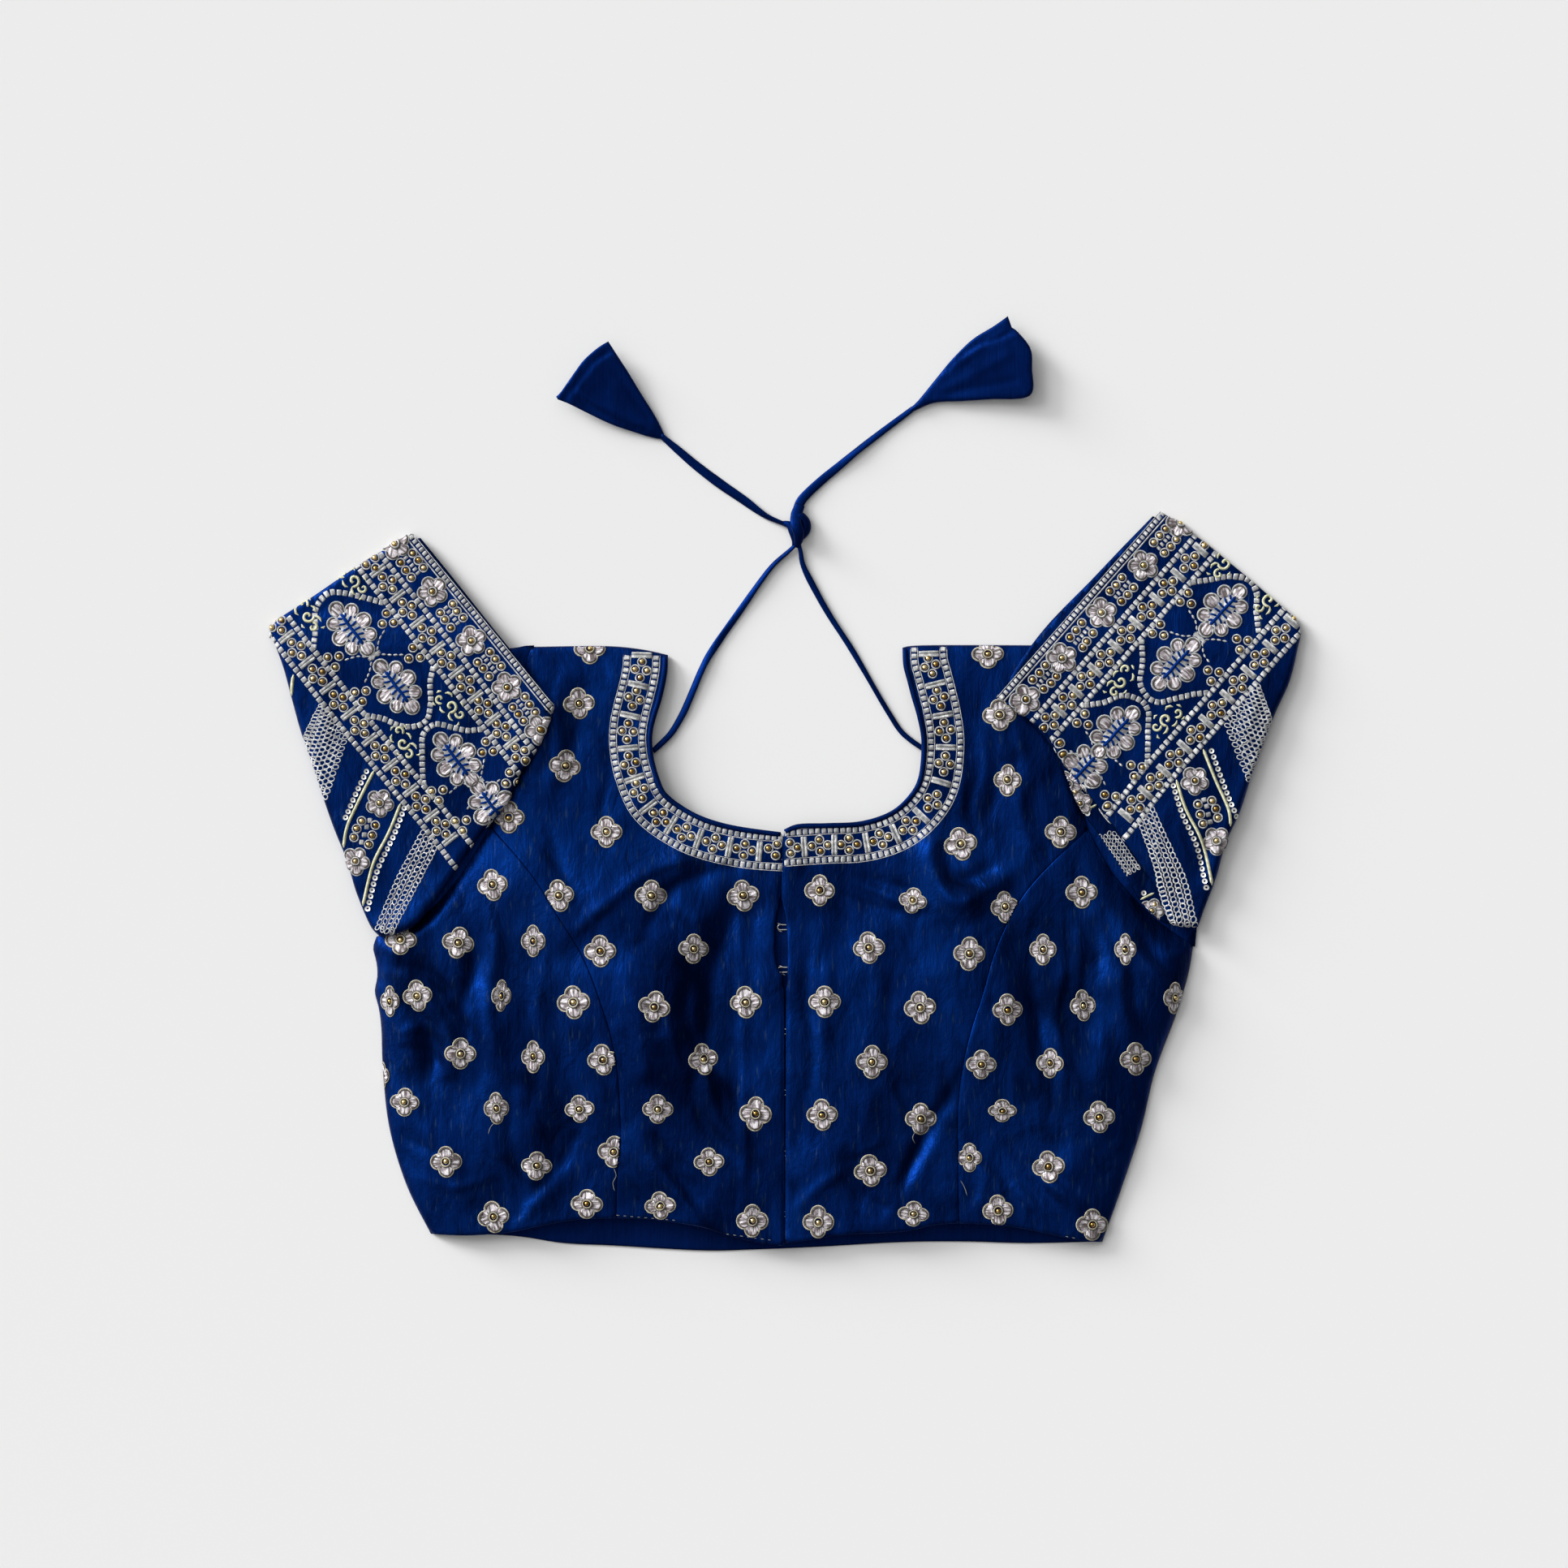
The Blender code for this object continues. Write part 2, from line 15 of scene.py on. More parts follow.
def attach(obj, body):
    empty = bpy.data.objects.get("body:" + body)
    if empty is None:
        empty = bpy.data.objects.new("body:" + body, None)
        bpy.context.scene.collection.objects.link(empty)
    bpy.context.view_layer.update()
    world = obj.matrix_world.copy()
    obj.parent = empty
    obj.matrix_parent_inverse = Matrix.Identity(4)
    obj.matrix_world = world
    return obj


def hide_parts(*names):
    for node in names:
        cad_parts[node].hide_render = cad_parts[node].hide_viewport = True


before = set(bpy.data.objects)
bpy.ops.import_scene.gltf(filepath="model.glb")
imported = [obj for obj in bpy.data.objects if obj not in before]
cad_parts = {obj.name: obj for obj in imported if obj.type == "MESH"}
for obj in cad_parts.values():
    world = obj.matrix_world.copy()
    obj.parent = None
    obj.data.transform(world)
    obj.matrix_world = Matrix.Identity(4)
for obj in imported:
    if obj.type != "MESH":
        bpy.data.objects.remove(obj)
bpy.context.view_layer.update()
RNG = np.random.default_rng(23)

# ------------------------------------------------------------------ sizes, mm
GRID = 0.465
CENTRE_X, CENTRE_Y = 967.0, 1085.0
MM = 0.001
PLY = 0.8               # shown thickness of the cloth
CLOTH = 1.2             # room that a layer takes in the stack
SIDE_Z = 2.72           # top of the front where it is sewn to the back
EDGE_ROLL = 12.5
FRONT_LATTICE = 2.5
SLEEVE_LATTICE = 2.6
FOLD_A = 4.0            # half width of the sleeve's rolled folds
PIPING_R = 1.7

# ------------------------------------------------------------------ curves, drafting units (x, y)
SIDE_LEFT = ((464, 1154), (460, 1168), (464, 1186), (465, 1203), (462, 1222), (467, 1243), (470, 1268), (472, 1320), (480, 1390),
             (501, 1460), (531, 1520))
SIDE_RIGHT = ((1470, 1165), (1464, 1200), (1449, 1250), (1423, 1320), (1406, 1390), (1383, 1460), (1358, 1530))
SHOULDER_LEFT = ((655, 797), (745, 796), (790, 800), (823, 807))
SHOULDER_RIGHT = ((1112, 798), (1140, 795), (1279, 795))
NECK_LEFT = ((823, 808), (822, 830), (816, 860), (809, 883), (805, 900), (804, 916), (807, 940), (817, 970),
             (828, 983), (845, 995), (864, 1005), (887, 1013), (915, 1019), (962, 1025))
NECK_RIGHT = ((1112, 798), (1113, 820), (1118, 840), (1123, 860), (1130, 885), (1135, 915), (1132, 955),
              (1120, 979), (1096, 1000), (1060, 1012), (1020, 1014), (984, 1015), (966, 1022))
ARMHOLE_LEFT_UP = ((655, 797), (640, 850), (627, 910), (613, 970), (604, 1018))
ARMHOLE_LEFT_LOW = ((604, 1018), (570, 1075), (522, 1128), (464, 1154))
ARMHOLE_RIGHT_UP = ((1279, 795), (1294, 850), (1309, 910), (1325, 970), (1340, 1022))
ARMHOLE_RIGHT_LOW = ((1340, 1022), (1372, 1078), (1420, 1130), (1470, 1165))
PRINCESS_LEFT = ((604, 1018), (654, 1075), (686, 1125), (719, 1179), (744, 1243), (758, 1296), (764, 1350),
                 (765, 1404), (761, 1450), (760, 1500))
PRINCESS_RIGHT = ((1340, 1022), (1295, 1063), (1262, 1100), (1240, 1137), (1223, 1178), (1210, 1224), (1195, 1270),
                  (1185, 1315), (1180, 1363), (1180, 1426), (1181, 1506))
OPEN_LEFT = ((962, 1025), (961, 1105), (957, 1128), (955, 1150), (956, 1182), (961, 1198), (965, 1230), (966, 1532))
OPEN_RIGHT = ((966, 1022), (964, 1105), (968, 1130), (970, 1160), (970, 1210), (968, 1530))
HEM_SIDE_LEFT = ((531, 1520), (580, 1521), (630, 1517), (672, 1508), (717, 1501), (760, 1500))
HEM_CENTRE_LEFT = ((760, 1500), (801, 1501), (863, 1510), (897, 1521), (940, 1531), (966, 1532))
HEM_CENTRE_RIGHT = ((968, 1530), (1000, 1526), (1040, 1520), (1086, 1518), (1120, 1515), (1150, 1508), (1181, 1506))
HEM_SIDE_RIGHT = ((1181, 1506), (1228, 1508), (1268, 1514), (1308, 1523), (1335, 1528), (1358, 1530))
BACK_HEM = ((531, 1520), (590, 1521), (641, 1524), (695, 1532), (756, 1535), (863, 1541), (925, 1540),
            (1000, 1537), (1107, 1531), (1187, 1530), (1268, 1532), (1358, 1530))
BACK_NECK = ((816, 812), (808, 862), (797, 900), (796, 922), (799, 945), (809, 975), (821, 990), (846, 1007), (880, 1019),
             (967, 1030), (1062, 1019), (1100, 1007), (1126, 984), (1140, 957), (1143, 915), (1126, 850), (1120, 808))
CUFF_L = ((683, 875), (655, 832), (609, 775), (561, 715), (512, 655))
TOP_FOLD_L = ((512, 655), (445, 695), (386, 735), (345, 762), (333, 778))
TURN_L = ((333, 778), (349, 820), (360, 860), (371, 900), (385, 940), (398, 980), (412, 1020), (428, 1060),
          (440, 1100), (457, 1140), (470, 1154))
UNDERARM_L = ((470, 1154), (493, 1149), (516, 1137), (543, 1102), (567, 1065), (597, 1023), (625, 990), (641, 955),
              (661, 927), (683, 875))
CUFF_R = ((1427, 629), (1382, 675), (1344, 715), (1286, 775), (1247, 830), (1235, 865))
TOP_FOLD_R = ((1590, 757), (1541, 715), (1492, 675), (1455, 647), (1427, 629))
TURN_R = ((1475, 1142), (1483, 1120), (1498, 1080), (1509, 1040), (1527, 1000), (1540, 960), (1555, 920),
          (1570, 880), (1588, 840), (1598, 800), (1602, 775), (1590, 757))
UNDERARM_R = ((1235, 865), (1287, 903), (1302, 929), (1334, 971), (1367, 1013), (1390, 1044), (1410, 1075),
              (1425, 1097), (1440, 1136), (1475, 1142))
UNDERLAYER_R = ((1246, 868), (1287, 911), (1303, 935), (1316, 967), (1331, 999), (1355, 1032), (1385, 1077),
                (1401, 1107), (1430, 1136), (1452, 1138))
RISE = ((797, 2.6), (900, 4.0), (1000, 6.0), (1100, 9.0), (1200, 10.5), (1300, 9.5), (1400, 7.5), (1500, 6.2),
        (1545, 6.0))
FOLDS = (
    (770, 1130, 800, 1270, 34.0, 4.0), (1150, 1130, 1170, 1270, 34.0, 4.0), (915, 1130, 905, 1290, 16.0, -3.4),
    (640, 1130, 650, 1290, 16.0, -2.6), (1330, 1120, 1345, 1250, 14.0, -2.4), (1150, 1050, 1200, 1105, 9.0, 1.8),
    (720, 1140, 830, 1060, 9.0, 0.7), (815, 1425, 870, 1500, 10.0, 1.0), (1140, 1430, 1090, 1500, 10.0, 0.5),
    (862, 1190, 900, 1330, 15.0, -2.2), (1300, 1140, 1290, 1340, 17.0, -2.4), (1345, 1140, 1360, 1300, 8.0, 1.4),
    (690, 1190, 684, 1420, 13.0, -1.9), (520, 1200, 545, 1330, 15.0, -1.8), (1196, 930, 1208, 1010, 13.0, -1.5),
    (1000, 1075, 1100, 1112, 11.0, -1.5), (1150, 1250, 1125, 1420, 17.0, -1.8), (1040, 1330, 1010, 1440, 14.0, 1.3),
    (725, 900, 735, 1010, 10.0, -1.2), (560, 1100, 590, 1200, 10.0, -1.4), (800, 1330, 790, 1440, 12.0, 1.2),
)
# creases: height, width to the left of the run, width to its right, points of the run
CREASES = (
    (0.9, 6.0, 3.0, ((703, 1153), (745, 1118), (785, 1084), (828, 1064), (872, 1056))),
    (-1.6, 9.0, 4.5, ((915, 1066), (870, 1076), (828, 1095), (802, 1135), (790, 1168))),
    (0.7, 6.0, 1.8, ((914, 1072), (910, 1150), (913, 1240), (916, 1340), (914, 1440), (917, 1520))),
    (-1.3, 6.0, 9.0, ((902, 1120), (882, 1190), (872, 1260), (870, 1310))),
    (1.1, 3.2, 6.0, ((868, 1307), (876, 1350), (890, 1385), (918, 1416))),
    (-1.1, 5.0, 3.2, ((850, 1325), (862, 1372), (880, 1402), (900, 1420))),
    (1.5, 3.5, 6.5, ((799, 1420), (820, 1448), (843, 1476), (866, 1511))),
    (-1.0, 4.0, 4.0, ((822, 1432), (842, 1456), (862, 1484))),
    (0.7, 6.0, 3.0, ((699, 1436), (676, 1462), (655, 1488), (634, 1516))),
    (-1.0, 4.0, 4.0, ((712, 1392), (700, 1420), (690, 1444))),
    (-0.9, 4.5, 5.0, ((690, 1440), (668, 1462), (648, 1478))),
    (1.9, 4.0, 8.0, ((577, 1070), (556, 1108), (530, 1140), (498, 1160), (478, 1184))),
    (-1.7, 6.0, 5.0, ((560, 1078), (540, 1110), (508, 1140), (484, 1152))),
    (1.5, 6.0, 4.0, ((484, 1196), (512, 1212), (540, 1246), (556, 1290), (548, 1330))),
    (-1.5, 5.0, 7.0, ((498, 1228), (524, 1262), (536, 1300), (520, 1344))),
    (1.0, 5.0, 8.0, ((600, 1110), (612, 1170), (604, 1240), (612, 1300))),
    (-1.1, 6.0, 4.0, ((574, 1120), (584, 1180), (572, 1240), (580, 1290))),
    (0.9, 7.0, 5.0, ((668, 1190), (662, 1250), (676, 1320), (668, 1370))),
    (1.8, 5.0, 8.0, ((1147, 1036), (1148, 1064), (1156, 1090), (1178, 1110), (1206, 1100), (1244, 1074))),
    (-1.8, 6.0, 4.5, ((1163, 1038), (1164, 1062), (1176, 1084), (1200, 1082), (1226, 1066))),
    (1.2, 5.0, 3.0, ((1050, 1086), (1082, 1098), (1112, 1112), (1146, 1118))),
    (-0.9, 3.0, 5.0, ((1060, 1080), (1090, 1089), (1128, 1098))),
    (1.0, 3.5, 6.0, ((1322, 1122), (1330, 1170), (1324, 1220), (1330, 1270))),
    (-1.3, 5.0, 5.0, ((1346, 1130), (1352, 1180), (1346, 1240))),
    (-1.4, 8.0, 7.0, ((1246, 1150), (1262, 1210), (1284, 1280), (1292, 1330))),
    (0.9, 5.0, 3.6, ((1392, 1146), (1404, 1176), (1430, 1204), (1456, 1214))),
    (-1.2, 4.0, 5.0, ((1404, 1150), (1424, 1180), (1452, 1196))),
    (1.0, 4.0, 6.0, ((1384, 1180), (1380, 1230), (1396, 1280))),
    (0.6, 6.5, 3.5, ((1170, 1370), (1146, 1418), (1118, 1466), (1086, 1512))),
    (-1.1, 3.5, 4.0, ((1148, 1380), (1130, 1420), (1104, 1462))),
    (0.7, 5.0, 3.0, ((1052, 1432), (1028, 1446), (1002, 1466), (980, 1490))),
    (1.0, 3.0, 5.0, ((1209, 1433), (1222, 1450), (1238, 1470))),
    (1.1, 3.0, 5.0, ((1246, 1452), (1258, 1468), (1274, 1488))),
    (1.1, 3.0, 6.0, ((1290, 1448), (1308, 1468), (1334, 1490))),
    (-0.9, 3.0, 3.0, ((1272, 1450), (1288, 1470), (1304, 1486))),
    (0.9, 5.0, 5.0, ((700, 820), (684, 880), (690, 930), (672, 990))),
    (-0.9, 5.0, 6.0, ((724, 830), (712, 900), (700, 960))),
    (0.9, 6.0, 4.0, ((1250, 900), (1262, 950), (1256, 1000), (1270, 1050))),
    (-1.0, 5.0, 5.0, ((1222, 900), (1228, 960), (1216, 1010))),
    (0.8, 6.0, 6.0, ((1010, 1130), (1020, 1200), (1012, 1290), (1022, 1370))),
    (-0.7, 8.0, 6.0, ((1100, 1200), (1094, 1280), (1108, 1350))),
    (0.9, 7.0, 5.0, ((760, 1190), (790, 1260), (796, 1330))),
    (-0.8, 6.0, 6.0, ((1430, 1250), (1404, 1300), (1396, 1360))),
    (0.9, 5.0, 7.0, ((500, 1380), (540, 1400), (560, 1440), (566, 1490))),
    (-0.9, 2.6, 5.0, ((1180, 1046), (1190, 1078), (1214, 1098), (1250, 1102))),
    (-0.8, 2.4, 4.5, ((986, 1072), (1030, 1100), (1072, 1116), (1120, 1126))),
    (-0.7, 2.2, 4.0, ((1198, 900), (1206, 946), (1196, 990), (1204, 1030))),
    (0.7, 4.0, 2.4, ((1176, 915), (1186, 960), (1180, 1010))),
    (-0.8, 4.5, 2.4, ((746, 905), (752, 950), (740, 1000), (750, 1050))),
    (-0.7, 2.6, 5.5, ((676, 1010), (690, 1060), (716, 1110), (742, 1150))),
    (0.6, 2.4, 4.0, ((640, 1010), (668, 1052), (700, 1098))),
    (-0.9, 3.0, 6.0, ((590, 1095), (600, 1150), (590, 1215), (598, 1285), (588, 1350))),
    (-0.9, 3.4, 2.4, ((488, 1190), (520, 1196), (548, 1214), (566, 1248))),
    (0.8, 2.4, 4.0, ((492, 1272), (522, 1262), (548, 1276))),
    (-0.8, 2.6, 3.6, ((482, 1296), (514, 1290), (540, 1306), (552, 1336))),
    (-0.7, 2.4, 3.4, ((492, 1392), (520, 1412), (548, 1420))),
    (0.6, 3.0, 2.0, ((520, 1452), (560, 1462), (600, 1452))),
    (-0.8, 3.0, 5.0, ((636, 1330), (630, 1390), (646, 1450), (640, 1500))),
    (-0.8, 2.4, 4.0, ((852, 1196), (846, 1246), (862, 1290), (894, 1318))),
    (0.7, 2.2, 3.6, ((830, 1210), (826, 1260), (838, 1312), (868, 1346))),
    (-0.7, 2.4, 3.4, ((896, 1336), (916, 1368), (930, 1410), (926, 1460))),
    (-0.8, 3.0, 2.2, ((806, 1392), (828, 1420), (848, 1440))),
    (0.7, 2.2, 3.2, ((776, 1440), (800, 1470), (820, 1492))),
    (-0.7, 2.4, 5.0, ((1000, 1150), (994, 1220), (1004, 1290), (996, 1350))),
    (-0.9, 5.0, 2.6, ((1186, 1310), (1166, 1352), (1138, 1392), (1120, 1440), (1104, 1500))),
    (-0.7, 2.4, 4.0, ((1046, 1452), (1070, 1478), (1100, 1488))),
    (0.7, 2.4, 3.4, ((1086, 1322), (1104, 1352), (1112, 1392))),
    (-0.9, 2.6, 5.0, ((1276, 1130), (1270, 1190), (1282, 1250), (1274, 1320))),
    (0.8, 2.4, 4.0, ((1306, 1130), (1310, 1190), (1300, 1250), (1310, 1320), (1304, 1380))),
    (-0.8, 2.4, 4.4, ((1362, 1118), (1370, 1160), (1392, 1196), (1398, 1240))),
    (-0.7, 2.4, 3.6, ((1416, 1160), (1432, 1190), (1450, 1230))),
    (0.6, 2.4, 3.2, ((1376, 1266), (1396, 1300), (1392, 1350))),
    (-0.7, 2.4, 3.6, ((1240, 1400), (1262, 1430), (1300, 1446), (1332, 1470))),
    (0.7, 2.2, 3.2, ((1198, 1420), (1212, 1452), (1206, 1490))),
)

# painted shade and painted sheen on the front, drawn where the satin turns from or towards the light: centre, half
# width, half height, lean in degrees, amount
PAINTED_SHADE_AND_SHEEN = (
    (517, 1225, 36, 52, 0, -0.45), (553, 1298, 40, 28, 20, -0.32), (491, 1125, 26, 26, 0, -0.30), (680, 1308, 22, 140, 2, -0.30),
    (640, 1180, 26, 60, 8, -0.20), (859, 1340, 46, 60, -20, -0.42), (866, 1222, 52, 52, 10, -0.30), (786, 1442, 24, 44, 20, -0.30),
    (910, 1100, 15, 36, 0, -0.30), (828, 1082, 60, 24, 25, -0.22), (1012, 1100, 46, 26, -20, -0.38), (993, 1246, 24, 66, 0, -0.22),
    (1117, 1350, 50, 76, 15, -0.28), (1092, 1446, 44, 34, 35, -0.26), (1200, 985, 40, 48, 0, -0.34), (1250, 912, 30, 26, 0, -0.25),
    (1304, 1190, 40, 80, 0, -0.42), (1310, 1335, 36, 56, 0, -0.40), (1387, 1140, 20, 56, -10, -0.40), (1376, 1246, 20, 50, 0, -0.20),
    (662, 935, 18, 44, 0, -0.20), (755, 940, 14, 90, 0, -0.15), (600, 1450, 60, 30, -15, -0.12), (738, 1150, 40, 14, 50, -0.2),
    (477, 1166, 18, 14, 0, -0.40), (502, 1190, 13, 46, 4, -0.45), (538, 1200, 30, 10, 10, -0.40), (572, 1206, 10, 30, 20, -0.25),
    (478, 1300, 12, 60, 0, -0.25), (1452, 1230, 12, 60, 12, -0.2), (700, 1130, 12, 60, 8, -0.2), (1150, 940, 14, 60, 10, -0.2),
    (1195, 1085, 36, 14, -20, -0.30), (540, 1180, 24, 20, 30, -0.2), (905, 1430, 16, 50, 10, -0.2),
    (590, 1235, 24, 50, 0, 0.15), (520, 1400, 34, 34, 0, 0.16), (624, 1062, 40, 24, -45, 0.16), (765, 1176, 28, 56, 0, 0.18),
    (931, 1400, 16, 90, 0, 0.26), (936, 1160, 16, 60, 0, 0.14), (1024, 1372, 24, 60, 0, 0.20), (1035, 1194, 40, 36, 0, 0.14),
    (1180, 1196, 38, 56, 0, 0.20), (1345, 1424, 40, 56, 0, 0.20), (1430, 1316, 24, 60, 0, 0.20), (1160, 1050, 40, 16, 30, 0.14),
    # narrow painted shade beside creases
    (503, 1192, 12, 9, 0, -0.3), (572, 1255, 7, 30, -25, -0.4), (513, 1288, 14, 36, -8, -0.3), (650, 1326, 18, 13, 0, -0.3),
    (650, 1443, 30, 8, 22, -0.35), (688, 1388, 5, 22, 35, -0.35), (746, 1340, 6, 22, -10, -0.3), (888, 1330, 9, 24, -15, -0.3),
    (850, 1170, 12, 34, -15, -0.35), (826, 1138, 44, 7, -14, -0.3), (733, 1120, 5, 30, 45, -0.3), (830, 1425, 36, 4, 36, -0.25),
    (726, 1412, 4, 22, 50, -0.25), (1407, 1130, 8, 28, -30, -0.35), (1330, 1297, 12, 26, -20, -0.25), (1200, 1105, 8, 40, 50, -0.35),
    (1298, 1235, 18, 26, 10, -0.3), (1065, 1425, 5, 36, 40, -0.3), (1005, 1430, 4, 42, 45, -0.3), (1375, 1430, 9, 20, 10, -0.3),
    (1120, 1130, 6, 34, 40, -0.25), (960, 1062, 5, 24, 30, -0.2), (1265, 1400, 6, 30, 35, -0.25), (905, 1140, 4, 40, 4, -0.2),
    (560, 1105, 6, 26, 30, -0.3), (600, 1150, 5, 40, 10, -0.2),
    (800, 1360, 26, 26, 0, 0.14), (700, 1030, 24, 50, 0, 0.12), (1250, 1470, 40, 30, 0, 0.12),
)


# ------------------------------------------------------------------ drafting
def place(x, y):
    return np.array([(x - CENTRE_X) * GRID, (CENTRE_Y - y) * GRID])


def table_mm(table):
    return np.array([place(*p) for p in table])


def resample(line, step):
    run = np.r_[0.0, np.cumsum(np.linalg.norm(np.diff(line, axis=0), axis=1))]
    at = np.linspace(0.0, run[-1], max(1, round(run[-1] / step)) + 1)
    return np.stack([np.interp(at, run, line[:, k]) for k in range(line.shape[1])], 1)


def fine_curve(p, parts=12):
    """Smooth curve through the points, close together."""
    n = len(p)
    if n < 3:
        return p.copy()
    i = np.arange(n - 1)
    a, b, c, d = (p[k][:, None, :] for k in (np.maximum(i - 1, 0), i, i + 1, np.minimum(i + 2, n - 1)))
    t = np.linspace(0, 1, parts, endpoint=False)[None, :, None]
    q = 0.5 * (2 * b + (c - a) * t + (2 * a - 5 * b + 4 * c - d) * t ** 2 + (3 * b - a - 3 * c + d) * t ** 3)
    return np.vstack([q.reshape(-1, p.shape[1]), p[-1:]])


def curve(table, step):
    return resample(fine_curve(table_mm(table)), step)


def outline(step, *tables):
    """Closed counter-clockwise loop of the curves, end to end."""
    loop = []
    for n, table in enumerate(tables):
        part = curve(table, step)
        if n == 0:
            nxt = table_mm(tables[1])[[0, -1]]
            if np.linalg.norm(nxt - part[0], axis=1).min() < np.linalg.norm(nxt - part[-1], axis=1).min():
                part = part[::-1]
        elif np.linalg.norm(part[-1] - loop[-1]) < np.linalg.norm(part[0] - loop[-1]):
            part = part[::-1]
        for p in part:
            if not len(loop) or np.linalg.norm(p - loop[-1]) > step * 0.35:
                loop.append(p)
    if np.linalg.norm(loop[0] - loop[-1]) < step * 0.35:
        loop.pop()
    loop = np.array(loop)
    nxt = np.roll(loop, -1, 0)
    area = (loop[:, 0] * nxt[:, 1] - nxt[:, 0] * loop[:, 1]).sum()
    return loop if area > 0 else loop[::-1].copy()


def loop_normals(loop, closed=True):
    """Inward normals of a counter-clockwise loop, or left-hand normals of an open line."""
    if closed:
        t = np.roll(loop, -1, 0) - np.roll(loop, 1, 0)
    else:
        t = np.gradient(loop, axis=0)
    n = np.stack([-t[:, 1], t[:, 0]], 1)
    return n / np.maximum(np.linalg.norm(n, axis=1), 1e-9)[:, None]


def inset(loop, by):
    """The loop moved inwards, without the points that would cross over a neighbour."""
    moved = loop + loop_normals(loop) * np.broadcast_to(np.asarray(by, float), (len(loop),))[:, None]
    gap, _, _ = nearest(moved, loop, True)
    keep = gap > 0.9 * np.broadcast_to(np.asarray(by, float), (len(loop),)) - 1e-6
    return moved[keep]


def nearest(xy, line, closed=False):
    """Distance from each point to the line, with the segment's number and the place on it."""
    a = line if closed else line[:-1]
    b = np.roll(line, -1, 0) if closed else line[1:]
    best = np.full(len(xy), 1e18)
    seg = np.zeros(len(xy), int)
    frac = np.zeros(len(xy))
    x, y = xy[:, 0], xy[:, 1]
    for k in range(len(a)):
        dx, dy = b[k] - a[k]
        ex, ey = x - a[k, 0], y - a[k, 1]
        t = np.clip((ex * dx + ey * dy) / max(dx * dx + dy * dy, 1e-12), 0, 1)
        d = (ex - t * dx) ** 2 + (ey - t * dy) ** 2
        m = d < best
        best[m], seg[m], frac[m] = d[m], k, t[m]
    return np.sqrt(best), seg, frac


def inside(xy, loop):
    x, y = xy[:, 0], xy[:, 1]
    odd = np.zeros(len(xy), bool)
    nxt = np.roll(loop, -1, 0)
    for (ax, ay), (bx, by) in zip(loop, nxt):
        if ay == by:
            continue
        m = (ay > y) != (by > y)
        odd ^= m & (x < ax + (y - ay) * (bx - ax) / (by - ay))
    return odd


def by_level(table, y):
    g = CENTRE_Y - y / GRID
    return np.interp(g, [r[0] for r in table], [r[1] for r in table])


# ------------------------------------------------------------------ height fields
STEP = 1.5
FX = np.arange(-312.0, 312.1, STEP)
FY = np.arange(-228.0, 228.1, STEP)
GX, GY = np.meshgrid(FX, FY)
GXY = np.stack([GX.ravel(), GY.ravel()], 1)


def sample(field, xy):
    u = np.clip((xy[:, 0] - FX[0]) / STEP, 0, len(FX) - 1.001)
    v = np.clip((xy[:, 1] - FY[0]) / STEP, 0, len(FY) - 1.001)
    i, j = u.astype(int), v.astype(int)
    a, b = u - i, v - j
    return ((field[j, i] * (1 - a) + field[j, i + 1] * a) * (1 - b)
            + (field[j + 1, i] * (1 - a) + field[j + 1, i + 1] * a) * b)


def soft_noise(wave_x, wave_y, seed):
    """Smooth noise of about unit size over the field."""
    r = np.random.default_rng(seed)
    nx, ny = int(624 / wave_x) + 4, int(456 / wave_y) + 4
    small = r.normal(size=(ny, nx))
    u = (GX - FX[0]) / wave_x
    v = (GY - FY[0]) / wave_y
    i, j = u.astype(int), v.astype(int)
    a, b = u - i, v - j
    a, b = a * a * (3 - 2 * a), b * b * (3 - 2 * b)
    return ((small[j, i] * (1 - a) + small[j, i + 1] * a) * (1 - b)
            + (small[j + 1, i] * (1 - a) + small[j + 1, i + 1] * a) * b)


CLOSED_EDGES = [curve(t, 6.0) for t in (SIDE_LEFT, SIDE_RIGHT, SHOULDER_LEFT, SHOULDER_RIGHT, ARMHOLE_LEFT_UP,
                                        ARMHOLE_LEFT_LOW, ARMHOLE_RIGHT_UP, ARMHOLE_RIGHT_LOW)]
ROLLED = [curve(t, 3.0) for t in (SIDE_LEFT, SIDE_RIGHT, SHOULDER_LEFT, SHOULDER_RIGHT)]
BODY = outline(6.0, SIDE_LEFT, ARMHOLE_LEFT_LOW, ARMHOLE_LEFT_UP, SHOULDER_LEFT, NECK_LEFT, NECK_RIGHT,
               SHOULDER_RIGHT, ARMHOLE_RIGHT_UP, ARMHOLE_RIGHT_LOW, SIDE_RIGHT, HEM_SIDE_RIGHT, HEM_CENTRE_RIGHT,
               HEM_CENTRE_LEFT, HEM_SIDE_LEFT)


def crease_height(xy, high, left, right, points):
    line = resample(fine_curve(table_mm(points)), 5.0)
    lo, hi = line.min(0) - 3 * max(left, right), line.max(0) + 3 * max(left, right)
    m = ((xy > lo) & (xy < hi)).all(1)
    out = np.zeros(len(xy))
    if m.any():
        q = xy[m]
        d, seg, frac = nearest(q, line)
        a, b = line[seg], line[seg + 1]
        side = (b[:, 0] - a[:, 0]) * (q[:, 1] - a[:, 1]) - (b[:, 1] - a[:, 1]) * (q[:, 0] - a[:, 0])
        run = (seg + frac) / (len(line) - 1)
        taper = np.sqrt(np.clip(np.sin(np.pi * np.clip(run, 0, 1)), 0, 1)) * 0.85 + 0.15
        out[m] = 1.62 * high * taper * np.exp(-(d / (0.82 * np.where(side > 0, left, right))) ** 1.7)
    return out


